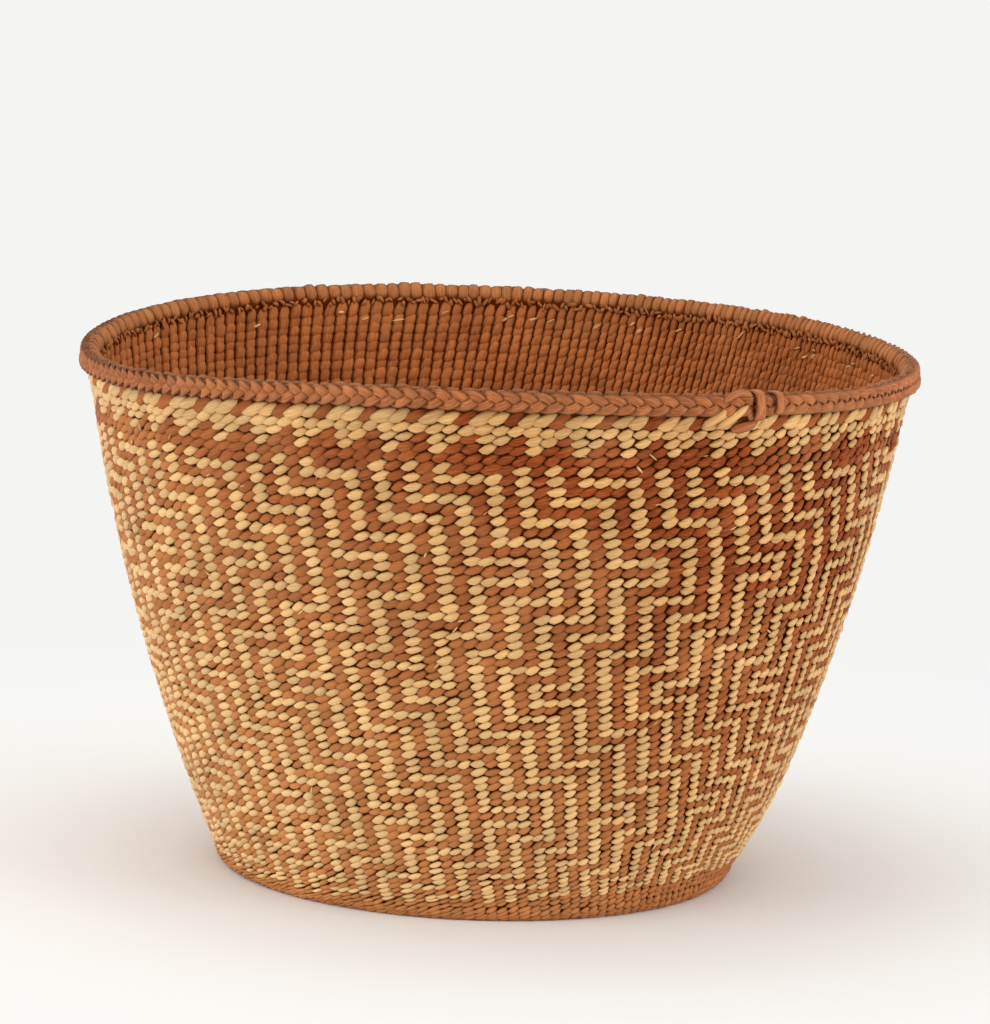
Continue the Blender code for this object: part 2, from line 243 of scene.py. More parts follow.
def smooth_noise(count: int, seed: int, knots: int) -> np.ndarray:
    """Return a closed, gently varying random line.

    Args:
        count: Number of samples.
        seed: Fixed seed.
        knots: Number of random values that the line runs through.

    Returns:
        Samples between about -1 and 1.
    """
    values = np.random.default_rng(seed).uniform(-1.0, 1.0, knots)
    where = np.arange(count) * knots / count
    first = np.floor(where).astype(int)
    t = where - first
    t = t * t * (3.0 - 2.0 * t)
    return values[first % knots] * (1.0 - t) + values[(first + 1) % knots] * t


# The weave


@dataclass(frozen=True)
class Crowding:
    """How the columns crowd and spread round the basket, as one wave.

    Attributes:
        order: How many times the wave repeats round the basket.
        rim: Cosine and sine parts at the rim, in degrees.
        foot: Cosine and sine parts at the foot, in degrees.
    """

    order: int
    rim: tuple[float, float]
    foot: tuple[float, float]

    def at(self, turn: np.ndarray, share: np.ndarray) -> np.ndarray:
        """Return the shift of a column, in degrees.

        Args:
            turn: The column's even angle, in radians.
            share: 0 at the rim and 1 at the foot.

        Returns:
            Shifts, in degrees.
        """
        wave = self.order * turn
        cosine = (1.0 - share) * self.rim[0] + share * self.foot[0]
        sine = (1.0 - share) * self.rim[1] + share * self.foot[1]
        return cosine * np.cos(wave) + sine * np.sin(wave)


@dataclass(frozen=True)
class Pinch:
    """A place where the columns are pushed aside, as where warps were added.

    Attributes:
        angles: Where it begins, is strongest and ends, in degrees.
        rows: The same down the rows.
        degrees: Shift where it is strongest.
    """

    angles: tuple[float, float, float]
    rows: tuple[float, float, float]
    degrees: float

    def at(self, degrees: np.ndarray, row: np.ndarray) -> np.ndarray:
        """Return the shift of a column.

        Args:
            degrees: The column's angle.
            row: Its row.

        Returns:
            Shifts, in degrees.
        """
        start, middle, end = self.angles
        past = (degrees - start) % 360.0
        round_share = np.minimum(past / (middle - start), (end - start - past) / (end - middle))
        first, full, last = self.rows
        down_share = np.minimum((row - first) / (full - first), (last - row) / (last - full))
        return self.degrees * np.clip(round_share, 0.0, 1.0) * np.clip(down_share, 0.0, 1.0)


@dataclass(frozen=True)
class Meander:
    """One stepped line of the figure. It goes down the rows and steps aside at its treads.

    Attributes:
        start: Offset of the line's first column from the figure's first column.
        treads: Rows at which it steps. A negative row steps back.
    """

    start: int
    treads: tuple[int, ...]

    def cells(self, first_row: int, last_row: int, step: int) -> set[tuple[int, int]]:
        """Return the stitches of the line, as (column offset, row) pairs.

        Args:
            first_row: Row at which the line begins.
            last_row: Row at which it ends.
            step: Columns that a tread crosses.

        Returns:
            The pairs of one line.
        """
        turns = {abs(row): (1 if row > 0 else -1) for row in self.treads}
        column = self.start
        found = set()
        for row in range(first_row, last_row + 1):
            if row in turns:
                target = column + turns[row] * step
                low, high = min(column, target), max(column, target)
                found.update((c, row) for c in range(low, high + 1))
                column = target
            else:
                found.add((column, row))
        return found


@dataclass(frozen=True)
class Weave:
    """The lattice of stitches: columns round the basket and rows down its wall.

    The rows' heights are in millimetres. They follow a curve through level_heights, sway with the
    waves towards the foot and the top, and rise at the corner of the foot on the +X side.
    """

    form: WallForm
    columns: int = 189
    even_columns: int = 171
    close_from: float = 4.0
    close_to: float = 102.0
    last_figured_row: int = 59
    foot_rows: int = 6
    figure_column: int = 139
    repeat: int = 9
    tread: int = 3
    level_rows: tuple[int, ...] = (1, 10, 20, 30, 40, 50, 54, 56, 58, 59)
    level_heights: tuple[float, ...] = (172.5, 142.45, 109.43, 79.65, 52.10, 24.79, 16.0, 11.9, 8.4, 6.9)
    edge_row_height: float = 176.4
    start_angle: float = -7.75
    twist: float = 9.56
    twist_growth: float = 0.75
    measured_rows: float = 58.0
    curve_degree: int = 6
    foot_waves: tuple[float, float, float] = (-0.13, -0.32, -2.45)
    top_waves: tuple[float, float, float] = (0.13, 0.18, -0.46)
    settle_rows: float = 6.0
    corner_rise: float = 3.0
    corner_angle: float = math.radians(340.0)
    crowding: tuple[Crowding, ...] = (
        Crowding(1, (5.86, -8.29), (2.49, -10.49)),
        Crowding(2, (1.67, 2.09), (-0.94, 1.14)),
    )
    pinches: tuple[Pinch, ...] = (
        Pinch((270.0, 340.0, 430.0), (-14.0, 0.0, 14.0), -8.7),
        Pinch((196.0, 217.0, 236.0), (-13.0, 0.0, 14.0), -3.0),
        Pinch((290.0, 306.0, 335.0), (34.0, 48.0, 58.0), 2.0),
    )
    lines: tuple[Meander, ...] = (
        Meander(0, (10, -20, -26, 32, 38, 44, -46, -52, -58)),
        Meander(-5, (6, 12, -18, -24, 34, 40, -50, -56)),
        Meander(2, (8, 14, -16, -22, -28, 30, 36, 42, -48, -54)),
    )

    def spread(self, column: np.ndarray) -> np.ndarray:
        """Return where a column would lie if all were as wide as those of the near side.

        Args:
            column: Columns, which lie closer together on the far side.

        Returns:
            Places, of which a full turn has even_columns.
        """
        extra = self.columns - self.even_columns
        turns = np.floor(column / self.columns)
        within = column - turns * self.columns
        half = (self.close_to - self.close_from) / 2.0
        s = np.clip((within - self.close_from) / half - 1.0, -1.0, 1.0)
        taken = extra * (s - s**7 / 7.0 + 6.0 / 7.0) / (12.0 / 7.0)
        return within - taken + turns * self.even_columns

    def angle(self, column: np.ndarray, row: np.ndarray) -> np.ndarray:
        """Return the angle of a stitch, in radians."""
        share = row / self.measured_rows
        place = self.spread(column)
        turn = TURN * place / self.even_columns
        degrees = 360.0 * place / self.even_columns + self.start_angle
        degrees = degrees + self.twist * share + self.twist_growth * share**2
        for wave in self.crowding:
            degrees = degrees + wave.at(turn, np.minimum(share, 1.0))
        return np.radians(degrees + sum(pinch.at(degrees, row) for pinch in self.pinches))

    def level(self, angle: np.ndarray, row: np.ndarray) -> np.ndarray:
        """Return the level of a row at an angle.

        Args:
            angle: Angles, in radians.
            row: Rows, from 0 at the coarse edge row.

        Returns:
            Levels, in metres.
        """
        last = float(self.last_figured_row)
        curve = np.polyfit(self.level_rows, self.level_heights, self.curve_degree)
        figured = np.where(row < 1.0, self.edge_line(row), np.polyval(curve, np.clip(row, 1.0, last)))
        share = np.clip(row / self.measured_rows, 0.0, 1.0)
        rise = self.corner_rise * np.clip(np.cos(angle - self.corner_angle), 0.0, 1.0) ** 6
        figured = figured + low_waves(self.foot_waves, angle) * share**2 + rise * share**8
        settle = (1.0 - share) * np.clip(row / self.settle_rows, 0.0, 1.0)
        figured = figured + low_waves(self.top_waves, angle) * settle
        contact = self.form.contact_level() / MM
        foot_share = np.maximum(row - last, 0.0) / self.foot_rows
        return (figured + (contact - figured) * foot_share) * MM

    def edge_line(self, row: np.ndarray) -> np.ndarray:
        """Return the height above row 1, in millimetres, which is coarser than the rest."""
        return self.edge_row_height + (self.level_heights[0] - self.edge_row_height) * row

    def straw_cells(self) -> set[tuple[int, int]]:
        """Return the straw stitches of one repeat of the figure."""
        found = set()
        for line in self.lines:
            cells = line.cells(5, self.last_figured_row, self.tread)
            found.update((column % self.repeat, row) for column, row in cells)
        return found

    def is_straw(self, column: np.ndarray, row: np.ndarray) -> np.ndarray:
        """Tell which stitches show straw.

        Args:
            column: Whole columns.
            row: Whole rows.

        Returns:
            True where a stitch shows straw.
        """
        offset = (column - self.figure_column) % self.repeat
        table = np.zeros((self.repeat, self.last_figured_row + 2), bool)
        for place, line in self.straw_cells():
            table[place, line] = True
        for place in range(self.repeat):
            table[place, 0] = table[place, 2] = place % 3 != 0
            table[place, 1] = True
            table[place, 3] = place % 3 == 1
        return table[offset, np.minimum(row, self.last_figured_row + 1)]


# Finishes

# Fibres to a strip's length and width, how far the noise of two strips lies apart, and its relief
FIBRES_ALONG = 1.6
FIBRES_ACROSS = 11.0
STRIPS_APART = 91.0
FIBRE_DEPTH = 0.0004
# How much X counts with height in the shift to a paler colour, which is painted light on the -X side, and
# where that sum begins and ends
LIT_SIDE_SLANT = 0.55
PALE_LIT_RANGE = (0.175, -0.030)
# Worn patches, and the light and dark of patches and strips
WEAR_SCALE = 26.0
WEAR_RANGE = (0.46, 0.66)
TONE_SCALE = 42.0
STRIP_SHARE = 0.55
TONE_RANGE = (0.45, 1.10)
TONE_VALUES = (0.82, 1.14)
# Where a strip begins to darken, partly its own margin and partly painted shade of the gaps, and where it is
# darkest, with 1 at its edge
EDGE_REACH = (0.55, 1.05)


@dataclass(frozen=True)
class Finish:
    """A split-root or straw finish with fibres that run along each strip.

    Attributes:
        name: Name of the material.
        dark: Colour of the shaded fibres, as linear red, green and blue.
        middle: Main colour.
        light: Colour of the pale fibres.
        worn_and_lit: Paler colour that the finish shifts to towards the foot and, as painted light, towards
            the -X side.
        fade: Share of the paler colour at the foot, more on the -X side, where it is painted light.
        worn: Share of the paler colour in worn patches anywhere.
        roughness: Roughness of the surface.
        fibre: How strongly the fibres show in colour.
        relief: Strength of the fibres' relief.
        sheen: How strongly the surface reflects.
        edge: How much darker a strip is at its edges, partly its own darker margin and partly painted shade
            of the gaps between strips.
        rounded: How much of that goes for its ends too.
    """

    name: str
    dark: tuple[float, float, float]
    middle: tuple[float, float, float]
    light: tuple[float, float, float]
    worn_and_lit: tuple[float, float, float]
    fade: float = 0.0
    worn: float = 0.0
    roughness: float = 0.6
    fibre: float = 1.0
    relief: float = 0.35
    sheen: float = 0.12
    edge: float = 0.0
    rounded: float = 0.0

    def material(self) -> bpy.types.Material:
        """Return the Blender material, making it on first use."""
        found = bpy.data.materials.get(self.name)
        if found:
            return found
        made = bpy.data.materials.new(self.name)
        made.use_nodes = True
        tree = made.node_tree
        shader = tree.nodes["Principled BSDF"]
        shader.inputs["Roughness"].default_value = self.roughness
        shader.inputs["Specular IOR Level"].default_value = self.sheen
        fibres = self.fibre_noise(tree)
        tree.links.new(self.colour(tree, fibres), shader.inputs["Base Color"])
        relief = {"Strength": self.relief, "Distance": FIBRE_DEPTH, "Height": fibres}
        bump = add_node(tree, "ShaderNodeBump", relief)
        tree.links.new(bump.outputs["Normal"], shader.inputs["Normal"])
        return made

    def fibre_noise(self, tree: bpy.types.NodeTree) -> bpy.types.NodeSocket:
        """Make noise that is drawn out along each strip, and differs from strip to strip.

        Args:
            tree: The material's node tree.

        Returns:
            The noise's value.
        """
        strip = add_node(tree, "ShaderNodeUVMap", uv_map="UVMap")
        split = add_node(tree, "ShaderNodeSeparateXYZ", {"Vector": strip.outputs["UV"]})
        tone = add_node(tree, "ShaderNodeAttribute", attribute_name="tone")
        joined = add_node(tree, "ShaderNodeCombineXYZ", {
            "X": combined(tree, "MULTIPLY", split.outputs["X"], FIBRES_ALONG),
            "Y": combined(tree, "MULTIPLY", split.outputs["Y"], FIBRES_ACROSS),
            "Z": combined(tree, "MULTIPLY", tone.outputs["Fac"], STRIPS_APART),
        })
        grain = {"Scale": 1.0, "Detail": 2.5, "Roughness": 0.6, "Vector": joined.outputs["Vector"]}
        return add_node(tree, "ShaderNodeTexNoise", grain).outputs["Fac"]

    def fibre_colour(self, tree: bpy.types.NodeTree, fibres: bpy.types.NodeSocket) -> bpy.types.NodeSocket:
        """Colour the fibres from dark to light.

        Args:
            tree: The material's node tree.
            fibres: The fibre noise.

        Returns:
            The colour.
        """
        ramp = add_node(tree, "ShaderNodeValToRGB", {"Fac": fibres})
        reach = 0.12 + 0.30 * (1.0 - self.fibre)
        first, last = ramp.color_ramp.elements
        first.position = 0.5 - reach
        first.color = (*self.dark, 1.0)
        last.position = 0.5 + reach
        last.color = (*self.light, 1.0)
        ramp.color_ramp.elements.new(0.5).color = (*self.middle, 1.0)
        return ramp.outputs["Color"]

    def colour(self, tree: bpy.types.NodeTree, fibres: bpy.types.NodeSocket) -> bpy.types.NodeSocket:
        """Mix the finish's colours by fibres, patches, strips and height, with painted light on the -X side
        and painted shade at each strip's edges.

        Args:
            tree: The material's node tree.
            fibres: The fibre noise.

        Returns:
            The colour.
        """
        place = add_node(tree, "ShaderNodeTexCoord").outputs["Object"]
        split = add_node(tree, "ShaderNodeSeparateXYZ", {"Vector": place})
        lie = {0: split.outputs["X"], 1: LIT_SIDE_SLANT, 2: split.outputs["Z"]}
        slant = add_node(tree, "ShaderNodeMath", lie, operation="MULTIPLY_ADD").outputs["Value"]
        worn_and_lit = self.fibre_colour(tree, fibres)
        # Painted light: the colour grows paler towards the foot, and most of all on the -X side.
        worn_and_lit = mixed(tree, worn_and_lit, self.worn_and_lit, ranged(tree, slant, PALE_LIT_RANGE, (0.0, self.fade)))
        wear = patches(tree, place, WEAR_SCALE, 4.0)
        worn_and_lit = mixed(tree, worn_and_lit, self.worn_and_lit, ranged(tree, wear, WEAR_RANGE, (0.0, self.worn)))
        tone = add_node(tree, "ShaderNodeAttribute", attribute_name="tone")
        strips = combined(tree, "MULTIPLY", tone.outputs["Fac"], STRIP_SHARE)
        both = combined(tree, "ADD", patches(tree, place, TONE_SCALE, 3.0), strips)
        value = ranged(tree, both, TONE_RANGE, TONE_VALUES)
        # Painted shade: each strip darkens towards its edges, where the gaps between strips lie in shade,
        # along with its own darker margin.
        dimmed = combined(tree, "MULTIPLY", value, self.painted_edge_shade(tree))
        return add_node(tree, "ShaderNodeHueSaturation", {"Value": dimmed, "Color": worn_and_lit}).outputs["Color"]

    def painted_edge_shade(self, tree: bpy.types.NodeTree) -> bpy.types.NodeSocket:
        """Make a factor that falls off towards the edges of each strip, partly its own darker margin and
        partly painted shade in the gaps between strips.

        Args:
            tree: The material's node tree.

        Returns:
            The factor, 1 in the middle.
        """
        strip = add_node(tree, "ShaderNodeUVMap", uv_map="UVMap")
        parts = {0: strip.outputs["UV"], 1: (2.0 * self.rounded, 2.0, 0.0), 2: (-self.rounded, -1.0, 0.0)}
        centred = add_node(tree, "ShaderNodeVectorMath", parts, operation="MULTIPLY_ADD")
        reach = add_node(tree, "ShaderNodeVectorMath", {0: centred.outputs["Vector"]}, operation="LENGTH")
        return ranged(tree, reach.outputs["Value"], EDGE_REACH, (1.0, 1.0 - self.edge), "SMOOTHSTEP")


def add_node(
    tree: bpy.types.NodeTree,
    kind: str,
    inputs: dict[str | int, object] | None = None,
    **settings: str,
) -> bpy.types.Node:
    """Add a node to a tree.

    Args:
        tree: The node tree.
        kind: Blender's name for the kind of node.
        inputs: For each input, a socket to link or a value to hold.
        settings: Values of the node's own properties.

    Returns:
        The node.
    """
    made = tree.nodes.new(kind)
    for name, value in settings.items():
        setattr(made, name, value)
    for key, value in (inputs or {}).items():
        if isinstance(value, bpy.types.NodeSocket):
            tree.links.new(value, made.inputs[key])
        else:
            made.inputs[key].default_value = value
    return made


def combined(
    tree: bpy.types.NodeTree,
    operation: str,
    first: bpy.types.NodeSocket,
    second: bpy.types.NodeSocket | float,
) -> bpy.types.NodeSocket:
    """Return the sum or product of two values."""
    return add_node(tree, "ShaderNodeMath", {0: first, 1: second}, operation=operation).outputs["Value"]


def patches(
    tree: bpy.types.NodeTree,
    place: bpy.types.NodeSocket,
    scale: float,
    detail: float,
) -> bpy.types.NodeSocket:
    """Return noise that varies over the piece."""
    noise = add_node(tree, "ShaderNodeTexNoise", {"Scale": scale, "Detail": detail, "Vector": place})
    return noise.outputs["Fac"]


def ranged(
    tree: bpy.types.NodeTree,
    value: bpy.types.NodeSocket,
    source: tuple[float, float],
    target: tuple[float, float],
    interpolation: str = "LINEAR",
) -> bpy.types.NodeSocket:
    """Return a value carried from one range to another and held at its ends.

    Args:
        tree: The node tree.
        value: The value.
        source: Range that it comes from.
        target: Range that it goes to.
        interpolation: Blender's name for the way between the ends.

    Returns:
        The new value.
    """
    (low, high), (least, most) = source, target
    ends = {"Value": value, "From Min": low, "From Max": high, "To Min": least, "To Max": most}
    return add_node(tree, "ShaderNodeMapRange", ends, interpolation_type=interpolation).outputs["Result"]


def mixed(
    tree: bpy.types.NodeTree,
    colour: bpy.types.NodeSocket,
    other: tuple[float, float, float],
    share: bpy.types.NodeSocket,
) -> bpy.types.NodeSocket:
    """Return a colour mixed towards a fixed one by a share."""
    parts = {"Factor": share, "A": colour, "B": (*other, 1.0)}
    return add_node(tree, "ShaderNodeMix", parts, data_type="RGBA").outputs["Result"]


@dataclass(frozen=True)
class Finishes:
    """Every finish of the basket."""

    straw: Finish = Finish(
        "straw", (0.45, 0.205, 0.058), (0.63, 0.340, 0.112), (0.80, 0.52, 0.225), (0.90, 0.62, 0.295),
        fade=0.6, worn=0.15, roughness=0.40, fibre=0.4, relief=0.08, sheen=0.35, edge=0.20, rounded=1.0,
    )
    root: Finish = Finish(
        "root_weft", (0.16, 0.026, 0.003), (0.27, 0.052, 0.008), (0.41, 0.106, 0.023), (0.62, 0.265, 0.090),
        fade=0.85, worn=0.30, roughness=0.65, fibre=0.7, relief=0.45, edge=0.28, rounded=1.0,
    )
    braid: Finish = Finish(
        "braid_root", (0.20, 0.044, 0.008), (0.35, 0.100, 0.023), (0.56, 0.225, 0.075), (0.52, 0.195, 0.065),
        worn=0.4, roughness=0.50, fibre=0.45, relief=0.15, sheen=0.25, edge=0.72,
    )
    end: Finish = Finish(
        "bent_ends", (0.25, 0.068, 0.015), (0.44, 0.150, 0.042), (0.58, 0.25, 0.095), (0.48, 0.19, 0.065),
        worn=0.4, roughness=0.60, fibre=0.35, relief=0.2, edge=0.42, rounded=1.0,
    )
    rib: Finish = Finish(
        "inner_root", (0.24, 0.050, 0.010), (0.43, 0.128, 0.030), (0.56, 0.205, 0.064), (0.50, 0.180, 0.052),
        fade=0.1, worn=0.4, roughness=0.65, fibre=0.3, relief=0.15, edge=0.50, rounded=0.5,
    )
    # Painted shade: the warps behind the stitches, darkened to the shade that fills the gaps between them.
    shaded_backing: Finish = Finish(
        "shadowed_warps",
        (0.09, 0.014, 0.001), (0.15, 0.026, 0.002), (0.19, 0.036, 0.004), (0.15, 0.026, 0.002),
        roughness=0.9, fibre=0.5, relief=0.0, sheen=0.0,
    )
    cut: Finish = Finish(
        "cut_tips", (0.20, 0.046, 0.008), (0.42, 0.130, 0.032), (0.60, 0.26, 0.09), (0.50, 0.20, 0.065),
        worn=0.5, roughness=0.75, fibre=0.6, relief=0.2, edge=0.5, rounded=1.0,
    )


# Making meshes


@dataclass(frozen=True)
class Leaf:
    """A closed stitch shape of unit length, width and depth, bowed outwards along its length.

    Attributes:
        name: Name of the shape.
        fullness: Exponent of the outline. A larger number gives a blunter, fuller shape.
        taper: How fast the outline closes towards the tips.
        bow: How far the tips dip, as a share of the depth.
        lean: How far the widest place lies off the middle, as a share of the length.
        shear: How far the left edge runs ahead of the right one, as a share of the length.
        perk: How much less the leading tip dips than the trailing one, as a share of the dip.
        crease: Depth of a groove along the shape, as a share of the depth.
        rings: Number of cross-sections between the tips.
        around: Points round each cross-section.
    """

    name: str
    fullness: float = 2.0
    taper: float = 0.75
    bow: float = 0.8
    lean: float = 0.0
    shear: float = 0.0
    perk: float = 0.0
    crease: float = 0.0
    rings: int = 5
    around: int = 8

    def mesh(self) -> bpy.types.Mesh:
        """Return the shape as a mesh with its own UV map, u along and v across."""
        verts: list[tuple[float, float, float]] = []
        uvs: list[tuple[float, float]] = []
        stations = [-math.cos(math.pi * (k + 1) / (self.rings + 1)) for k in range(self.rings)]
        for t in stations:
            width = max(0.0, 1.0 - abs(t) ** self.fullness) ** self.taper
            along = t / 2.0 + self.lean * (1.0 - t * t)
            dip = -self.bow * t * t * 0.5 * (1.0 - self.perk * t)
            for i in range(self.around):
                turn = TURN * i / self.around
                c, s = math.cos(turn), math.sin(turn)
                across = 0.5 * width * math.copysign(abs(c) ** 0.8, c)
                top = 0.5 * width**0.5 * s - self.crease * max(0.0, s) ** 6
                deep = 0.5 * width**0.5 * s * 0.8
                verts.append((along + self.shear * across, across, dip + (top if s > 0.0 else deep)))
                uvs.append((t / 2.0 + 0.5, across + 0.5))
        first, last = len(verts), len(verts) + 1
        for t in (-1.0, 1.0):
            verts.append((t / 2.0, 0.0, -self.bow * 0.5 * (1.0 - self.perk * t)))
            uvs.append((t / 2.0 + 0.5, 0.5))
        faces: list[tuple[int, ...]] = []
        n = self.around
        for k in range(self.rings - 1):
            for i in range(n):
                j = (i + 1) % n
                faces.append((k * n + i, (k + 1) * n + i, (k + 1) * n + j, k * n + j))
        for i in range(n):
            j = (i + 1) % n
            faces.append((first, i, j))
            base = (self.rings - 1) * n
            faces.append((last, base + j, base + i))
        return plain_mesh(self.name, np.array(verts), faces, np.array(uvs))


def plain_mesh(
    name: str,
    verts: np.ndarray,
    faces: list[tuple[int, ...]],
    uvs: np.ndarray,
    tone: np.ndarray | None = None,
) -> bpy.types.Mesh:
    """Make a smooth mesh with a UV map and, if given, a tone for each vertex.

    Args:
        name: Name of the mesh.
        verts: Vertices.
        faces: Faces, as rows of vertex numbers, outward side up.
        uvs: One u, v pair for each vertex.
        tone: One value for each vertex.

    Returns:
        The mesh.
    """
    mesh = bpy.data.meshes.new(name)
    mesh.from_pydata([tuple(v) for v in verts], [], faces)
    layer = mesh.uv_layers.new(name="UVMap")
    corners = np.zeros(len(mesh.loops), np.int32)
    mesh.loops.foreach_get("vertex_index", corners)
    layer.data.foreach_set("uv", uvs[corners].astype(np.float32).ravel())
    if tone is not None:
        held = mesh.attributes.new("tone", "FLOAT", "POINT")
        held.data.foreach_set("value", tone.astype(np.float32).ravel())
    mesh.shade_smooth()
    return mesh


def closed_strip(
    name: str,
    rings: np.ndarray,
    tone: np.ndarray,
    across: np.ndarray,
    whole: bool = False,
) -> bpy.types.Mesh:
    """Make a closed strip from cross-sections, with a cap at each end.

    Args:
        name: Name of the mesh.
        rings: Cross-sections, as an array of sections, points and x, y, z.
        tone: One tone for each section.
        across: The v coordinate of each point of a section.
        whole: Whether u runs once from end to end, and not in lengths of about 6 mm.

    Returns:
        The mesh.
    """
    count, around, _ = rings.shape
    middle = rings.mean(axis=1)
    steps = np.linalg.norm(np.diff(middle, axis=0), axis=1)
    along = np.concatenate([[0.0], np.cumsum(steps)])
    along = along / (along[-1] if whole else 6.0 * MM)
    verts = rings.reshape(-1, 3)
    uvs = np.stack([np.repeat(along, around), np.tile(across, count)], axis=-1)
    faces = []
    for k in range(count - 1):
        for i in range(around):
            j = (i + 1) % around
            faces.append((k * around + i, k * around + j, (k + 1) * around + j, (k + 1) * around + i))
    faces.append(tuple(reversed(range(around))))
    faces.append(tuple((count - 1) * around + i for i in range(around)))
    return plain_mesh(name, verts, faces, uvs, np.repeat(tone, around))


def squared_off(wave: np.ndarray, power: float) -> np.ndarray:
    """Return a wave with steeper flanks, which squares off a round section."""
    return np.sign(wave) * np.abs(wave) ** power


def swept(
    middle: np.ndarray,
    side: np.ndarray,
    depth: np.ndarray,
    flat: np.ndarray,
    thick: np.ndarray,
) -> np.ndarray:
    """Return the cross-sections of a strip.

    Args:
        middle: Middle of each section.
        side: Direction of its width.
        depth: Direction of its thickness.
        flat: Reach of each section's points along the width.
        thick: Reach of the points along the thickness.

    Returns:
        Sections, as an array of sections, points and x, y, z.
    """
    rings = middle[:, None, :] + side[:, None, :] * flat[:, :, None]
    return rings + depth[:, None, :] * thick[None, :, None]


def random_sizes(rng: np.random.Generator, count: int, spans: Spans) -> np.ndarray:
    """Return random sizes of stitches.

    Args:
        rng: Source of the random numbers.
        count: Number of sizes.
        spans: Least and greatest length, width and depth, in millimetres.

    Returns:
        Lengths, widths and depths, in metres.
    """
    return np.stack([rng.uniform(low, high, count) * MM for low, high in spans], axis=-1)


def closed_ring(name: str, grid: np.ndarray, tone: np.ndarray, unit_length: float) -> bpy.types.Mesh:
    """Make a ring-shaped body from a grid that closes both ways.

    Args:
        name: Name of the mesh.
        grid: Points, as an array of stations round the basket, points of the section and x, y, z.
        tone: One tone for each station.
        unit_length: Length along the section that spans one unit of u.

    Returns:
        The mesh, with u along the section and v round the basket.
    """
    stations, points, _ = grid.shape
    steps = np.linalg.norm(np.diff(grid, axis=1), axis=2).mean(axis=0)
    along = np.concatenate([[0.0], np.cumsum(steps)]) / unit_length
    verts = grid.reshape(-1, 3)
    uvs = np.stack([np.tile(along, stations), np.repeat(np.arange(stations) * 0.5, points)], axis=-1)
    faces = []
    for k in range(stations):
        m = (k + 1) % stations
        for i in range(points):
            j = (i + 1) % points
            faces.append((k * points + i, m * points + i, m * points + j, k * points + j))
    return plain_mesh(name, verts, faces, uvs, np.repeat(tone, points))


def add_piece(
    name: str,
    mesh: bpy.types.Mesh,
    finish: Finish,
    stands_for: tuple[str, ...] = (),
) -> bpy.types.Object:
    """Add a mesh to the scene as a piece of the basket.

    Args:
        name: Name of the piece.
        mesh: Its mesh.
        finish: Its finish.
        stands_for: CAD nodes that the piece replaces.

    Returns:
        The piece.
    """
    mesh.materials.clear()
    mesh.materials.append(finish.material())
    piece = bpy.data.objects.new(name, mesh)
    bpy.context.scene.collection.objects.link(piece)
    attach(piece, BODY)
    if stands_for:
        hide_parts(*stands_for)
    mesh.calc_loop_triangles()
    LOG.info("%s: %d triangles", name, len(mesh.loop_triangles))
    return piece


# Laying stitches with Geometry Nodes


@dataclass
class Guide:
    """Places of stitches: points with directions and sizes.

    Attributes:
        points: Middle of each stitch.
        along: Direction of each stitch's length.
        outward: Direction that its face looks.
        size: Length, width and depth of each stitch.
        shape: Number of the shape that it takes.
    """

    points: np.ndarray
    along: np.ndarray
    outward: np.ndarray
    size: np.ndarray
    shape: np.ndarray

    def only(self, chosen: np.ndarray) -> Guide:
        """Return the chosen stitches."""
        parts = (self.points, self.along, self.outward, self.size, self.shape)
        return Guide(*(part[chosen] for part in parts))

    def mesh(self, name: str) -> bpy.types.Mesh:
        """Return the places as loose vertices that carry their directions and sizes."""
        mesh = bpy.data.meshes.new(name)
        mesh.from_pydata([tuple(p) for p in self.points], [], [])
        for label, values in (("along", self.along), ("outward", self.outward), ("size", self.size)):
            held = mesh.attributes.new(label, "FLOAT_VECTOR", "POINT")
            held.data.foreach_set("vector", values.astype(np.float32).ravel())
        held = mesh.attributes.new("shape", "INT", "POINT")
        held.data.foreach_set("value", self.shape.astype(np.int32))
        return mesh


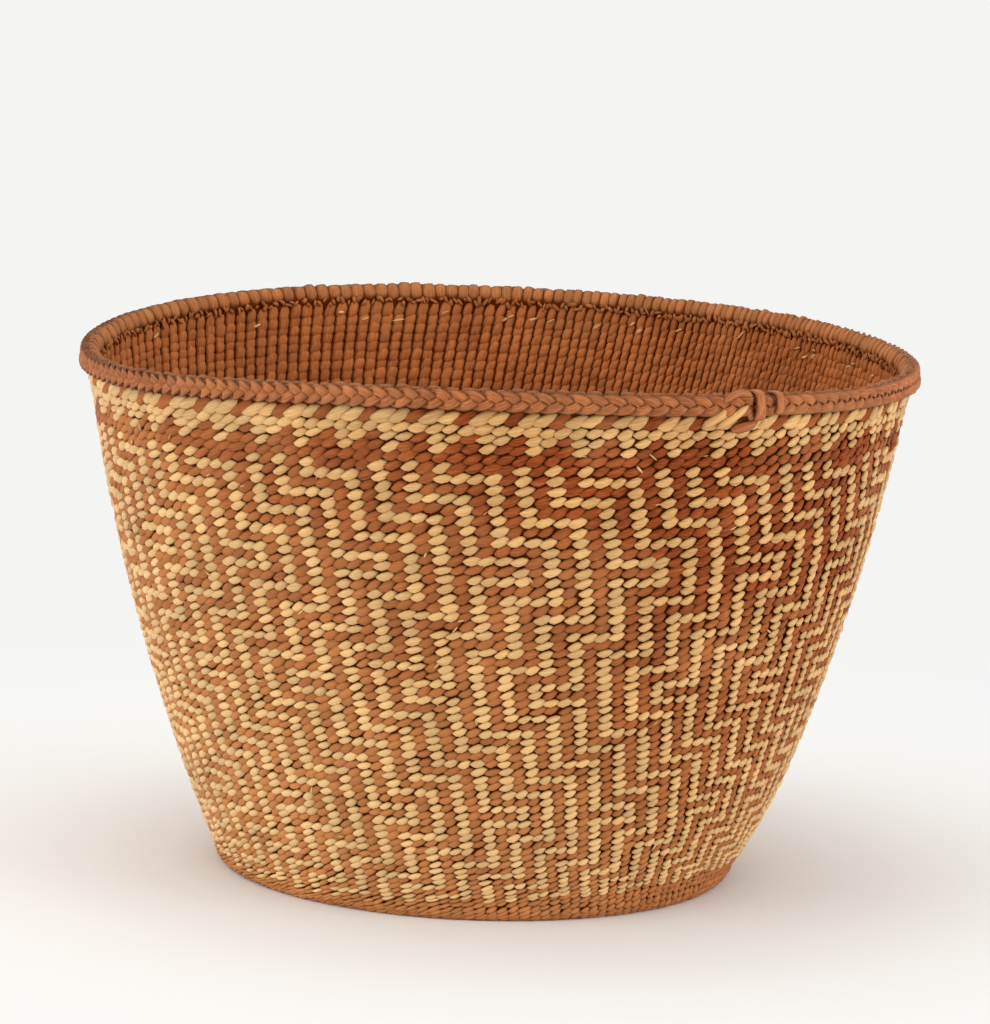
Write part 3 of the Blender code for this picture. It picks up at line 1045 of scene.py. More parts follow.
@dataclass
class StitchTree:
    """A Geometry Nodes tree that lays one of several shapes on every point of a guide."""

    name: str = "lay_stitches"
    tree: bpy.types.NodeTree | None = field(default=None, init=False)

    def build(self) -> bpy.types.NodeTree:
        """Build the tree on first use and return it."""
        if self.tree is not None:
            return self.tree
        tree = bpy.data.node_groups.new(self.name, "GeometryNodeTree")
        kinds = {
            "Geometry": "Geometry",
            "Shapes": "Collection",
            "Material": "Material",
            "Turn": "Float",
            "Size Change": "Float",
            "Seed": "Int",
        }
        for name, kind in kinds.items():
            tree.interface.new_socket(name, in_out="INPUT", socket_type="NodeSocket" + kind)
        tree.interface.new_socket("Geometry", in_out="OUTPUT", socket_type="NodeSocketGeometry")
        source = tree.nodes.new("NodeGroupInput").outputs
        self.tree = tree
        shapes = add_node(tree, "GeometryNodeCollectionInfo", {
            "Separate Children": True,
            "Reset Children": True,
            "Collection": source["Shapes"],
        })
        laid = add_node(tree, "GeometryNodeInstanceOnPoints", {
            "Points": source["Geometry"],
            "Instance": shapes.outputs["Instances"],
            "Pick Instance": True,
            "Instance Index": self.named("shape", "INT"),
            "Rotation": self.rotation(source),
            "Scale": self.scale(source),
        })
        chance = add_node(tree, "FunctionNodeRandomValue", {"Seed": source["Seed"]}, data_type="FLOAT")
        toned = {"Name": "tone", "Value": chance.outputs[1], "Geometry": laid.outputs["Instances"]}
        tone = add_node(tree, "GeometryNodeStoreNamedAttribute", toned, data_type="FLOAT", domain="INSTANCE")
        real = add_node(tree, "GeometryNodeRealizeInstances", {"Geometry": tone.outputs["Geometry"]})
        dressed = add_node(tree, "GeometryNodeSetMaterial", {
            "Geometry": real.outputs["Geometry"],
            "Material": source["Material"],
        })
        add_node(tree, "NodeGroupOutput", {"Geometry": dressed.outputs["Geometry"]})
        return tree

    def named(self, name: str, kind: str) -> bpy.types.NodeSocket:
        """Return the socket of a guide's attribute."""
        node = add_node(self.tree, "GeometryNodeInputNamedAttribute", {"Name": name}, data_type=kind)
        return node.outputs["Attribute"]

    def chance(self, seed: bpy.types.NodeSocket, amount: bpy.types.NodeSocket) -> bpy.types.NodeSocket:
        """Make a small random vector.

        Args:
            seed: Seed of the random numbers.
            amount: Largest value, which each part keeps within.

        Returns:
            The vector.
        """
        span = {0: (-1.0, -1.0, -1.0), "Seed": seed}
        whole = add_node(self.tree, "FunctionNodeRandomValue", span, data_type="FLOAT_VECTOR")
        parts = {0: whole.outputs[0], "Scale": amount}
        small = add_node(self.tree, "ShaderNodeVectorMath", parts, operation="SCALE")
        return small.outputs["Vector"]

    def rotation(self, source: bpy.types.bpy_prop_collection) -> bpy.types.NodeSocket:
        """Turn each shape to its directions, give or take a small random turn.

        Args:
            source: The tree's inputs.

        Returns:
            The rotation.
        """
        ways = {
            "Primary Axis": self.named("outward", "FLOAT_VECTOR"),
            "Secondary Axis": self.named("along", "FLOAT_VECTOR"),
        }
        axes = add_node(self.tree, "FunctionNodeAxesToRotation", ways, primary_axis="Z", secondary_axis="X")
        small = self.chance(source["Seed"], source["Turn"])
        turn = add_node(self.tree, "FunctionNodeEulerToRotation", {"Euler": small})
        turns = {"Rotation": axes.outputs["Rotation"], "Rotate By": turn.outputs["Rotation"]}
        both = add_node(self.tree, "FunctionNodeRotateRotation", turns, rotation_space="LOCAL")
        return both.outputs["Rotation"]

    def scale(self, source: bpy.types.bpy_prop_collection) -> bpy.types.NodeSocket:
        """Size each shape, give or take a small random change.

        Args:
            source: The tree's inputs.

        Returns:
            The scale.
        """
        seed = combined(self.tree, "ADD", source["Seed"], 7.0)
        small = {0: self.chance(seed, source["Size Change"]), 1: (1.0, 1.0, 1.0)}
        change = add_node(self.tree, "ShaderNodeVectorMath", small, operation="ADD")
        parts = {0: self.named("size", "FLOAT_VECTOR"), 1: change.outputs["Vector"]}
        size = add_node(self.tree, "ShaderNodeVectorMath", parts, operation="MULTIPLY")
        return size.outputs["Vector"]


@dataclass
class StitchLayer:
    """Lays a set of shapes on guides and keeps the result as plain meshes."""

    nodes: StitchTree
    label: str
    leaves: tuple[Leaf, ...]
    turn: float = math.radians(3.0)
    size_change: float = 0.05
    shapes: bpy.types.Collection | None = field(default=None, init=False)

    def collection(self) -> bpy.types.Collection:
        """Return the collection of the shapes, which isn't in the scene."""
        if self.shapes is None:
            self.shapes = bpy.data.collections.new(self.label)
            for k, leaf in enumerate(self.leaves):
                shape = bpy.data.objects.new(f"{self.label}_{k}", leaf.mesh())
                self.shapes.objects.link(shape)
        return self.shapes

    def lay(
        self,
        name: str,
        guide: Guide,
        finish: Finish,
        slot: Slot,
        seed: int,
        stands_for: tuple[str, ...] = (),
    ) -> bpy.types.Object:
        """Lay the shapes on a guide.

        Args:
            name: Name of the piece.
            guide: Places of the stitches.
            finish: Finish of the stitches.
            slot: Not used.
            seed: Fixed seed of the small changes.
            stands_for: CAD nodes that the piece replaces.

        Returns:
            The piece.
        """
        points = bpy.data.objects.new(name + "_guide", guide.mesh(name + "_guide"))
        bpy.context.scene.collection.objects.link(points)
        modifier = points.modifiers.new("lay", "NODES")
        modifier.node_group = self.nodes.build()
        values = {
            "Shapes": self.collection(),
            "Material": finish.material(),
            "Turn": self.turn,
            "Size Change": self.size_change,
            "Seed": seed,
        }
        for item in modifier.node_group.interface.items_tree:
            if item.in_out == "INPUT" and item.name in values:
                modifier[item.identifier] = values[item.name]
        points.update_tag()
        graph = bpy.context.evaluated_depsgraph_get()
        mesh = bpy.data.meshes.new_from_object(points.evaluated_get(graph))
        mesh.name = name
        points.modifiers.clear()
        bpy.data.objects.remove(points)
        for label in ("along", "outward", "size", "shape"):
            held = mesh.attributes.get(label)
            if held is not None:
                mesh.attributes.remove(held)
        return add_piece(name, mesh, finish, stands_for)


# Sub-assemblies


@dataclass(frozen=True)
class StitchForm:
    """How the stitches of one thread lie on the lattice.

    Attributes:
        length: Length of a stitch, as a share of the column's width.
        width: Width of a stitch, as a share of the row's rise.
        depth: Full depth, in metres.
        inset: Depth of its middle inside the wall's outer face, in metres.
        slope: How steeply it rises along the row, in radians.
        turn: Largest random turn, in radians.
        change: Largest random change of size, as a share.
        leaves: Shapes that the stitches take.
    """

    length: float
    width: float
    depth: float
    inset: float
    slope: float
    turn: float
    change: float
    leaves: tuple[Leaf, ...]

    def sizes(self) -> tuple[float, float, float, float, float]:
        """Return length, width, depth, inset and slope."""
        return self.length, self.width, self.depth, self.inset, self.slope


STRAW_STITCH = StitchForm(
    1.29, 1.10, 1.9 * MM, 0.40 * MM, math.radians(7.0), math.radians(6.0), 0.13,
    (
        Leaf("straw_leaf_a", 1.8, 0.92, 0.62, 0.02, shear=0.24, perk=-0.6),
        Leaf("straw_leaf_b", 1.6, 0.88, 0.55, -0.02, shear=0.30, perk=-0.5),
        Leaf("straw_leaf_c", 2.1, 0.98, 0.66, 0.03, shear=0.26, perk=-0.6, crease=0.06),
    ),
)
ROOT_STITCH = StitchForm(
    1.40, 1.16, 1.8 * MM, 0.78 * MM, math.radians(13.0), math.radians(8.0), 0.15,
    (
        Leaf("root_leaf_a", 2.0, 0.90, 0.62, 0.01, shear=0.26, perk=-0.6),
        Leaf("root_leaf_b", 2.3, 0.86, 0.68, 0.02, shear=0.32, perk=-0.5, crease=0.06),
        Leaf("root_leaf_c", 1.7, 0.94, 0.58, -0.02, shear=0.22, perk=-0.6),
    ),
)


@dataclass
class WovenWall:
    """The twined stitches of the wall's outer face, from the coarse edge row to the foot."""

    weave: Weave
    nodes: StitchTree
    finishes: Finishes
    lift: float = math.radians(-6.5)
    wander: float = 0.30 * MM
    coarse_slope: float = math.radians(7.0)
    coarse_length: float = 1.44
    coarse_width: float = 1.14
    coarse_depth: float = 1.15
    sliver_count: int = 150
    sliver_sizes: Spans = ((1.8, 4.0), (0.35, 0.8), (0.3, 0.5))

    def guide(self, first: int, last: int) -> tuple[Guide, np.ndarray]:
        """Place the stitches of some rows.

        Args:
            first: First row.
            last: Last row.

        Returns:
            The guide, and which of its stitches show straw.
        """
        weave, form = self.weave, self.weave.form
        row, column = np.meshgrid(np.arange(first, last + 1), np.arange(weave.columns), indexing="ij")
        row, column = row.ravel().astype(float), column.ravel().astype(float)
        angle = weave.angle(column, row)
        level = weave.level(angle, row)
        right = weave.angle(column + 0.5, row)
        left = weave.angle(column - 0.5, row)
        span = form.surface(right, weave.level(right, row)) - form.surface(left, weave.level(left, row))
        above = form.surface(angle, weave.level(angle, row - 0.5))
        below = form.surface(angle, weave.level(angle, row + 0.5))
        outward = form.outward(angle, level)
        forward = unit(span)
        upward = unit(np.cross(outward, forward))
        straw = weave.is_straw(column.astype(int), row.astype(int))
        pitch = np.linalg.norm(span, axis=-1)
        rise = np.linalg.norm(above - below, axis=-1)
        coarse = (row == 0.0).astype(float)
        sizes = np.array([stitch.sizes() for stitch in (STRAW_STITCH, ROOT_STITCH)])
        length, width, depth, inset, slope = sizes[np.where(straw, 0, 1)].T
        slope = slope + coarse * self.coarse_slope
        along = forward * np.cos(slope)[:, None] + upward * np.sin(slope)[:, None]
        along = along * math.cos(self.lift) + outward * math.sin(self.lift)
        across = np.cross(outward, along)
        facing = unit(np.cross(along, across))
        size = np.stack([
            pitch * length * (1.0 + (self.coarse_length - 1.0) * coarse),
            rise * width * (1.0 + (self.coarse_width - 1.0) * coarse),
            depth * (1.0 + (self.coarse_depth - 1.0) * coarse),
        ], axis=-1)
        rng = np.random.default_rng(first + 11)
        stray = rng.uniform(-self.wander, self.wander, (2, len(row)))
        points = form.surface(angle, level) - outward * inset[:, None]
        points = points + forward * stray[0][:, None] + upward * stray[1][:, None]
        return Guide(points, along, facing, size, rng.integers(0, 3, len(row))), straw

    def slivers(self) -> Guide:
        """Place the splinters of straw that stand out between the stitches here and there."""
        form, count = self.weave.form, self.sliver_count
        rng = np.random.default_rng(23)
        column = rng.uniform(0.0, self.weave.columns, count)
        row = 3.0 + 50.0 * rng.uniform(0.0, 1.0, count) ** 1.8
        angle = self.weave.angle(column, row)
        level = self.weave.level(angle, row)
        along, outward = form.lying(angle, level, rng.uniform(-1.3, 1.3, count))
        points = form.surface(angle, level) + outward * 0.15 * MM
        size = random_sizes(rng, count, self.sliver_sizes)
        return Guide(points, unit(along + outward * 0.2), outward, size, rng.integers(0, 3, count))

    def build(self) -> None:
        """Lay every band of the outer face."""
        layers = {
            thread: StitchLayer(self.nodes, thread.value + "_shapes", form.leaves, form.turn, form.change)
            for thread, form in ((Thread.STRAW, STRAW_STITCH), (Thread.ROOT, ROOT_STITCH))
        }
        finishes = {Thread.STRAW: self.finishes.straw, Thread.ROOT: self.finishes.root}
        slots = {Thread.STRAW: Slot.STRAW, Thread.ROOT: Slot.WEFT}
        last = self.weave.last_figured_row
        bands = (
            ("edge_row", 0, 0, "edge_row"),
            ("border", 1, 4, "border_band"),
            ("figure_upper", 5, 21, "figured_wall"),
            ("figure_middle", 22, 39, "figured_wall"),
            ("figure_lower", 40, last, "figured_wall"),
            ("foot_rows", last + 1, last + self.weave.foot_rows, "foot_band"),
        )
        for seed, (name, top_row, low_row, node) in enumerate(bands):
            guide, straw = self.guide(top_row, low_row)
            for thread, shown in ((Thread.STRAW, straw), (Thread.ROOT, ~straw)):
                if shown.any():
                    piece, laid = f"{name}_{thread.value}", guide.only(shown)
                    layers[thread].lay(piece, laid, finishes[thread], slots[thread], seed, (node,))
        layers[Thread.STRAW].lay(
            "straw_slivers", self.slivers(), self.finishes.straw, Slot.STRAW, 61, ("figured_wall",)
        )


@dataclass
class InnerWall:
    """The ribs of the wall's inner face, and the core that closes the gaps between stitches, dark with
    painted shade.
    """

    weave: Weave
    nodes: StitchTree
    finishes: Finishes
    face_inset: float = 3.1 * MM
    depth: float = 1.9 * MM
    length: float = 1.7
    width: float = 0.95
    lean: float = math.radians(6.0)
    core_outer: float = 1.8 * MM
    core_inner: float = 2.7 * MM
    core_top: float = 0.1802
    first_row: int = 0
    last_row: int = 64
    sliver_count: int = 60
    sliver_inset: float = 4.0 * MM
    sliver_sizes: Spans = ((2.8, 4.8), (0.9, 1.7), (0.4, 0.7))

    def guide(self) -> Guide:
        """Place the inner blocks, one behind each stitch."""
        weave, form = self.weave, self.weave.form
        rows = np.arange(self.first_row, self.last_row)
        row, column = np.meshgrid(rows, np.arange(weave.columns), indexing="ij")
        row, column = row.ravel().astype(float), column.ravel() + 0.5
        angle = weave.angle(column, row)
        level = weave.level(angle, row)
        outward = form.outward(angle, level)
        rng = np.random.default_rng(5)
        sink = rng.uniform(-0.22, 0.22, len(row)) * MM
        points = form.surface(angle, level) - outward * (self.face_inset + sink)[:, None]
        upper = weave.angle(column, row - 0.5)
        lower = weave.angle(column, row + 0.5)
        span = form.inset(upper, weave.level(upper, row - 0.5), self.face_inset)
        span = span - form.inset(lower, weave.level(lower, row + 0.5), self.face_inset)
        right, left = weave.angle(column + 0.5, row), weave.angle(column - 0.5, row)
        width = form.surface(right, level) - form.surface(left, level)
        rise = np.linalg.norm(span, axis=-1)
        along = unit(span) * math.cos(self.lean) - unit(width) * math.sin(self.lean)
        size = np.stack([
            rise * self.length,
            np.linalg.norm(width, axis=-1) * self.width,
            np.full_like(rise, self.depth),
        ], axis=-1)
        return Guide(points, along, -outward, size, rng.integers(0, 2, len(row)))

    def slivers(self) -> Guide:
        """Place the ends of straw that show inside, most of them under the rim."""
        weave, form = self.weave, self.weave.form
        rng = np.random.default_rng(37)
        count = self.sliver_count
        column = rng.uniform(0.0, weave.columns, count)
        row = np.where(np.arange(count) % 3 > 0, rng.uniform(0.1, 1.1, count), rng.uniform(2.0, 55.0, count))
        angle = weave.angle(column, row)
        level = weave.level(angle, row)
        along, outward = form.lying(angle, level, rng.uniform(-0.6, 0.1, count))
        points = form.surface(angle, level) - outward * self.sliver_inset
        size = random_sizes(rng, count, self.sliver_sizes)
        return Guide(points, unit(along), -outward, size, rng.integers(0, 3, count))

    def build(self) -> None:
        """Lay the ribs and make the core."""
        leaves = (
            Leaf("rib_block_a", 3.2, 0.38, 0.40, shear=-0.14, rings=4, around=6),
            Leaf("rib_block_b", 2.6, 0.46, 0.55, shear=-0.24, rings=4, around=6),
        )
        layer = StitchLayer(self.nodes, "rib_shapes", leaves, math.radians(5.0), 0.10)
        guide = self.guide()
        thirds = np.array_split(np.arange(len(guide.points)), 3)
        for k, part in enumerate(thirds):
            name, laid = f"inner_ribs_{k + 1}", guide.only(part)
            layer.lay(name, laid, self.finishes.rib, Slot.WARP, 30 + k, ("wall_warps",))
        layer = StitchLayer(self.nodes, "sliver_shapes", STRAW_STITCH.leaves, math.radians(8.0), 0.2)
        layer.lay("inner_slivers", self.slivers(), self.finishes.straw, Slot.STRAW, 62, ("wall_warps",))
        form = self.weave.form
        levels = np.linspace(form.contact_level(), self.core_top, 40)
        stations = self.weave.columns
        angle = np.arange(stations) * TURN / stations
        outer = [form.inset(angle, np.full(stations, v), self.core_outer) for v in levels]
        inner = [form.inset(angle, np.full(stations, v), self.core_inner) for v in levels[::-1]]
        grid = np.stack(outer + inner, axis=1)
        mesh = closed_ring("wall_core", grid, np.full(stations, 0.5), 6.0 * MM)
        add_piece("wall_core", mesh, self.finishes.shaded_backing, ("wall_warps",))


@dataclass
class Base:
    """The flat base: twined rows on both faces, a core dark with painted shade, and the crossed start."""

    weave: Weave
    nodes: StitchTree
    finishes: Finishes
    thickness: float = 3.2 * MM
    row_pitch: float = 2.7 * MM
    stitch_pitch: float = 3.4 * MM
    start_size: float = 17.6 * MM
    start_warps: int = 4
    ply: float = 1.4 * MM
    inner_share: float = 0.62
    low_inset: float = 0.8 * MM
    high_inset: float = 0.7 * MM
    slope: float = math.radians(20.0)
    stitch_length: float = 1.15
    stitch_width: float = 1.04
    stitch_depth: float = 1.5 * MM
    core_reach: tuple[float, float] = (0.011, 0.087)
    core_heights: tuple[float, float] = (1.0 * MM, 2.2 * MM)

    def guide(self, side: Side, edge: float) -> Guide:
        """Place the stitches of one face in rings.

        Args:
            side: The underside is the outside.
            edge: Radius of the outermost ring.

        Returns:
            The guide.
        """
        form = self.weave.form
        points, alongs = [], []
        radius = edge
        while radius > self.start_size * self.inner_share:
            count = int(min(self.weave.columns, TURN * radius / self.stitch_pitch))
            angle = (np.arange(count) + 0.5) * TURN / count
            flat = form.place(angle, np.zeros(count), np.full(count, radius))
            flat[:, 2] = self.low_inset if side is Side.OUTSIDE else self.thickness - self.high_inset
            forward = np.stack([-np.sin(angle), np.cos(angle), np.zeros(count)], axis=-1)
            radial = np.stack([np.cos(angle), np.sin(angle), np.zeros(count)], axis=-1)
            way = forward * math.cos(self.slope) + radial * math.sin(self.slope) * side.value
            length = TURN * radius / count * self.stitch_length
            size = np.array([length, self.row_pitch * self.stitch_width, self.stitch_depth])
            points.append(flat)
            alongs.append(np.concatenate([way, np.tile(size, (count, 1))], axis=1))
            radius -= self.row_pitch
        points = np.concatenate(points)
        rest = np.concatenate(alongs)
        outward = np.tile([0.0, 0.0, -side.value], (len(points), 1))
        shape = np.random.default_rng(3).integers(0, 2, len(points))
        return Guide(points, rest[:, :3], outward, rest[:, 3:], shape)

    def start(self, name: str, low: float, turned: bool) -> None:
        """Make one ply of the start: warps laid side by side.

        Args:
            name: Name of the CAD node that the ply stands for.
            low: Height of its lower face.
            turned: True for the ply whose warps run along Y.
        """
        pitch = self.start_size / self.start_warps
        around, sections = 10, 9
        verts, faces, uvs, tones = [], [], [], []
        for k in range(self.start_warps):
            middle = (k + 0.5 - self.start_warps / 2.0) * pitch
            for along in np.linspace(-0.5, 0.5, sections):
                end = 1.0 - 0.25 * float(abs(along) > 0.49)
                for i in range(around):
                    turn = TURN * i / around
                    x = middle + math.cos(turn) * pitch * 0.47 * end
                    z = low + self.ply / 2.0 * (1.0 + math.sin(turn) * end)
                    y = along * self.start_size
                    verts.append((x, y, z) if turned else (y, -x, z))
                    uvs.append((along * 3.0, i / 5.0 if i < 5 else 2.0 - i / 5.0))
                    tones.append(0.1 + 0.25 * k)
            base = k * around * sections
            for s in range(sections - 1):
                for i in range(around):
                    j = (i + 1) % around
                    a, b = base + s * around, base + (s + 1) * around
                    faces.append((a + i, b + i, b + j, a + j))
            last = base + (sections - 1) * around
            faces.append(tuple(base + i for i in range(around)))
            faces.append(tuple(last + i for i in reversed(range(around))))
        mesh = plain_mesh(name + "_strips", np.array(verts), faces, np.array(uvs), np.array(tones))
        add_piece(name + "_strips", mesh, self.finishes.rib, (name,))

    def build(self) -> None:
        """Lay both faces and make the core and the start."""
        leaves = (
            Leaf("base_leaf_a", 2.6, 0.62, 0.8, rings=4, around=6),
            Leaf("base_leaf_b", 3.0, 0.66, 0.7, 0.02, rings=4, around=6),
        )
        layer = StitchLayer(self.nodes, "base_shapes", leaves, math.radians(3.0), 0.06)
        form = self.weave.form
        edge = form.contact_radius - self.row_pitch * 0.6
        under = self.guide(Side.OUTSIDE, edge)
        layer.lay("base_underside", under, self.finishes.root, Slot.WEFT, 71, ("base_disc",))
        inner = self.guide(Side.INSIDE, form.contact_radius + 0.8 * MM)
        layer.lay("base_inside", inner, self.finishes.rib, Slot.WEFT, 72, ("base_disc",))
        stations = self.weave.columns
        angle = np.arange(stations) * TURN / stations
        (near, far), (low, high) = self.core_reach, self.core_heights
        loops = []
        for radius, z in ((near, low), (far, low), (far, high), (near, high)):
            loop = form.place(angle, np.zeros(stations), np.full(stations, radius))
            loop[:, 2] = z
            loops.append(loop)
        grid = np.stack(loops, axis=1)
        mesh = closed_ring("base_core", grid, np.full(stations, 0.5), 6.0 * MM)
        add_piece("base_core", mesh, self.finishes.shaded_backing, ("base_disc",))
        self.start("start_warps_lower", 0.0, False)
        self.start("start_warps_upper", self.ply + 0.3 * MM, True)


@dataclass(frozen=True)
class Band:
    """A short flat strip that lies on the outside of the rim.

    Attributes:
        name: Name of the piece.
        node: CAD node that it stands for.
        stops: Degrees round the basket, height and distance out from the wall, both in mm.
        width: Width, in mm.
        thickness: Thickness, in mm.
    """

    name: str
    node: str
    stops: tuple[tuple[float, float, float], ...]
    width: float
    thickness: float = 1.0


PALE_BANDS = (
    Band("tuck_strip", "tuck_strand", (
        (297.1, 175.0, 1.0), (297.9, 177.2, 2.6), (299.2, 180.0, 3.4), (300.4, 182.6, 2.6),
    ), 2.6, 1.3),
    Band("long_stitch", "edge_row", (
        (295.3, 175.6, 0.7), (296.4, 177.8, 1.7), (297.5, 180.0, 2.6), (298.4, 181.4, 2.4),
    ), 3.1, 1.4),
    Band("stray_sliver", "edge_row", (
        (302.4, 177.2, 1.4), (303.0, 177.7, 2.4), (303.6, 177.9, 2.2),
    ), 0.9, 0.5),
)
BROWN_BANDS = (
    Band("strap_tail", "splice_strap", ((300.6, 181.0, 2.2), (300.9, 179.6, 3.0), (301.4, 178.2, 2.0)), 2.6),
    Band("broad_stitch", "edge_row", (
        (299.2, 174.4, 0.5), (300.8, 175.6, 1.8), (302.4, 176.8, 1.0),
    ), 3.5, 1.5),
    Band("splice_lobe", "splice_strap", (
        (297.2, 184.0, 2.2), (298.5, 186.2, 1.6), (299.8, 186.8, 1.0), (301.0, 185.8, 1.4),
    ), 2.8, 1.2),
)


@dataclass
class Rim:
    """The bent-over warp ends, their trimmed tips, and the braid with its splice."""

    weave: Weave
    nodes: StitchTree
    finishes: Finishes
    wall_drop: float = 8.5 * MM
    braid_drop: float = 3.95 * MM
    braid_out: float = 1.2 * MM
    strand_swing: float = 1.85 * MM
    strand_width: float = 3.3 * MM
    strand_thickness: float = 1.35 * MM
    strand_rise: float = 1.15 * MM
    lean: float = math.radians(6.0)
    splice: float = math.radians(301.5)
    steps: int = 18
    rib_length: float = 6.4 * MM
    rib_depth: float = 2.9 * MM
    rib_inset: float = 2.9 * MM
    rib_drop: float = 2.7 * MM
    rib_face: float = math.radians(28.0)
    rib_width: float = 1.09
    strap_thickness: float = 1.3 * MM
    tips_per_column: float = 2.2
    tip_sizes: Spans = ((2.2, 4.0), (0.9, 1.7), (0.8, 1.3))

    def frame(
        self, angle: np.ndarray, height: float
    ) -> tuple[np.ndarray, np.ndarray, np.ndarray, np.ndarray]:
        """Return points on the outer face with their forward, upward and outward directions.

        Args:
            angle: Angles, in radians.
            height: Height of the line.

        Returns:
            Points, forward, upward and outward directions.
        """
        form = self.weave.form
        level = np.full_like(angle, height)
        radius, _ = form.profile(level)
        here = form.place(angle, level, radius)
        ahead = form.place(angle + 0.001, level, radius)
        behind = form.place(angle - 0.001, level, radius)
        forward = unit(ahead - behind)
        out = unit(np.cross(forward, np.array([0.0, 0.0, 1.0])))
        up = unit(np.cross(out, forward))
        return here, forward, up, out

    def strand(self, number: int) -> bpy.types.Mesh:
        """Sweep one strand of the braid once round the rim.

        Args:
            number: 0, 1 or 2.

        Returns:
            Its mesh.
        """
        periods = self.weave.even_columns // 3
        count = periods * self.steps
        k = np.arange(1, count)
        angle = self.splice + TURN * k / count
        phase = TURN * k / self.steps + TURN * number / 3.0 + math.radians(30.0)
        here, forward, up, out = self.frame(angle, self.weave.form.rim_height - self.braid_drop)
        side = up * math.cos(self.lean) - out * math.sin(self.lean)
        face = out * math.cos(self.lean) + up * math.sin(self.lean)
        lobe = smooth_noise(count, 21 + number, periods * 2)[1:]
        wide = 1.0 + 0.09 * smooth_noise(count, 31 + number, periods * 2)[1:]
        wave = (np.sin(phase) + np.sin(3.0 * phase) / 15.0) / 0.933
        across = (self.strand_swing + 0.10 * MM * lobe) * wave
        rise = -self.strand_rise * np.sin(2.0 * phase)
        sway = 0.22 * MM * smooth_noise(count, 41 + number, periods * 2)[1:]
        middle = here + side * across[:, None] + face * (rise + self.braid_out)[:, None]
        middle = middle + forward * sway[:, None]
        way = unit(np.gradient(middle, axis=0))
        width = unit(np.cross(face, way))
        depth = unit(np.cross(way, width))
        turns = TURN * np.arange(12) / 12
        c, s = np.cos(turns), np.sin(turns)
        flat = squared_off(c, 0.7) * self.strand_width / 2.0
        thick = squared_off(s, 0.8) * self.strand_thickness / 2.0
        rings = swept(middle, width, depth, np.outer(wide, flat), thick)
        tone = np.random.default_rng(number + 3).uniform(0.0, 1.0, periods * 2 + 2)
        lobes = np.floor((phase - math.pi / 2.0) / math.pi).astype(int)
        return closed_strip(f"braid_{number + 1}", rings, tone[lobes % len(tone)], (c + 1.0) / 2.0)

    def core(self) -> bpy.types.Mesh:
        """Make the roll behind the braid and the ribs, which closes the gaps between them with painted
        shade.
        """
        form = self.weave.form
        stations = self.weave.columns * 2
        angle = self.weave.angle(np.arange(stations) / 2.0, np.zeros(stations))
        low, high = form.rim_height - self.wall_drop, form.rim_height - 1.5 * MM
        section = (
            (low, 0.9), (high - 1.4 * MM, 0.7), (high, 1.5),
            (high, 2.3), (high - 1.6 * MM, 3.1), (low, 3.5),
        )
        loops = []
        for height, inset in section:
            radius, _ = form.profile(np.full(stations, height))
            loops.append(form.place(angle, np.full(stations, height), radius - inset * MM))
        return closed_ring("rim_roll", np.stack(loops[::-1], axis=1), np.full(stations, 0.4), 12.0 * MM)

    def ribs(self) -> Guide:
        """Place the bent-over ends, one for each column, as the mouth shows them."""
        form = self.weave.form
        count = self.weave.columns
        rng = np.random.default_rng(9)
        column = np.arange(count) + rng.uniform(-0.07, 0.07, count)
        angle = self.weave.angle(column, np.zeros(count))
        here, _, up, out = self.frame(angle, form.rim_height)
        drop = self.rib_drop + rng.uniform(-0.25, 0.25, count) * MM
        inset = self.rib_inset + rng.uniform(-0.2, 0.2, count) * MM
        ahead, _, _, _ = self.frame(self.weave.angle(column + 1.0, np.zeros(count)), form.rim_height)
        pitch = np.linalg.norm(ahead - here, axis=-1)
        points = here - up * drop[:, None] - out * inset[:, None]
        facing = up * math.sin(self.rib_face) - out * math.cos(self.rib_face)
        along = up * math.cos(self.rib_face) + out * math.sin(self.rib_face)
        size = np.stack([
            np.full(count, self.rib_length),
            pitch * self.rib_width,
            np.full(count, self.rib_depth),
        ], axis=-1)
        return Guide(points, along, facing, size, rng.integers(0, 3, count))

    def tips(self) -> Guide:
        """Place the trimmed tips, which curl inside the mouth."""
        form = self.weave.form
        rng = np.random.default_rng(17)
        count = int(self.weave.columns * self.tips_per_column)
        column = np.arange(count) / self.tips_per_column + rng.uniform(-0.2, 0.2, count)
        angle = self.weave.angle(column, np.zeros(count))
        height = form.rim_height - rng.uniform(5.0, 6.9, count) * MM
        radius, _ = form.profile(height)
        points = form.place(angle, height, radius - rng.uniform(4.0, 4.7, count) * MM)
        inward = -np.stack([np.cos(angle), np.sin(angle), np.zeros(count)], axis=-1)
        forward = np.stack([-np.sin(angle), np.cos(angle), np.zeros(count)], axis=-1)
        tilt = rng.uniform(-1.3, 1.3, count)
        along = forward * np.sin(tilt)[:, None] - np.array([0.0, 0.0, 1.0]) * np.cos(tilt)[:, None]
        size = random_sizes(rng, count, self.tip_sizes)
        return Guide(points, along, inward, size, rng.integers(0, 2, count))

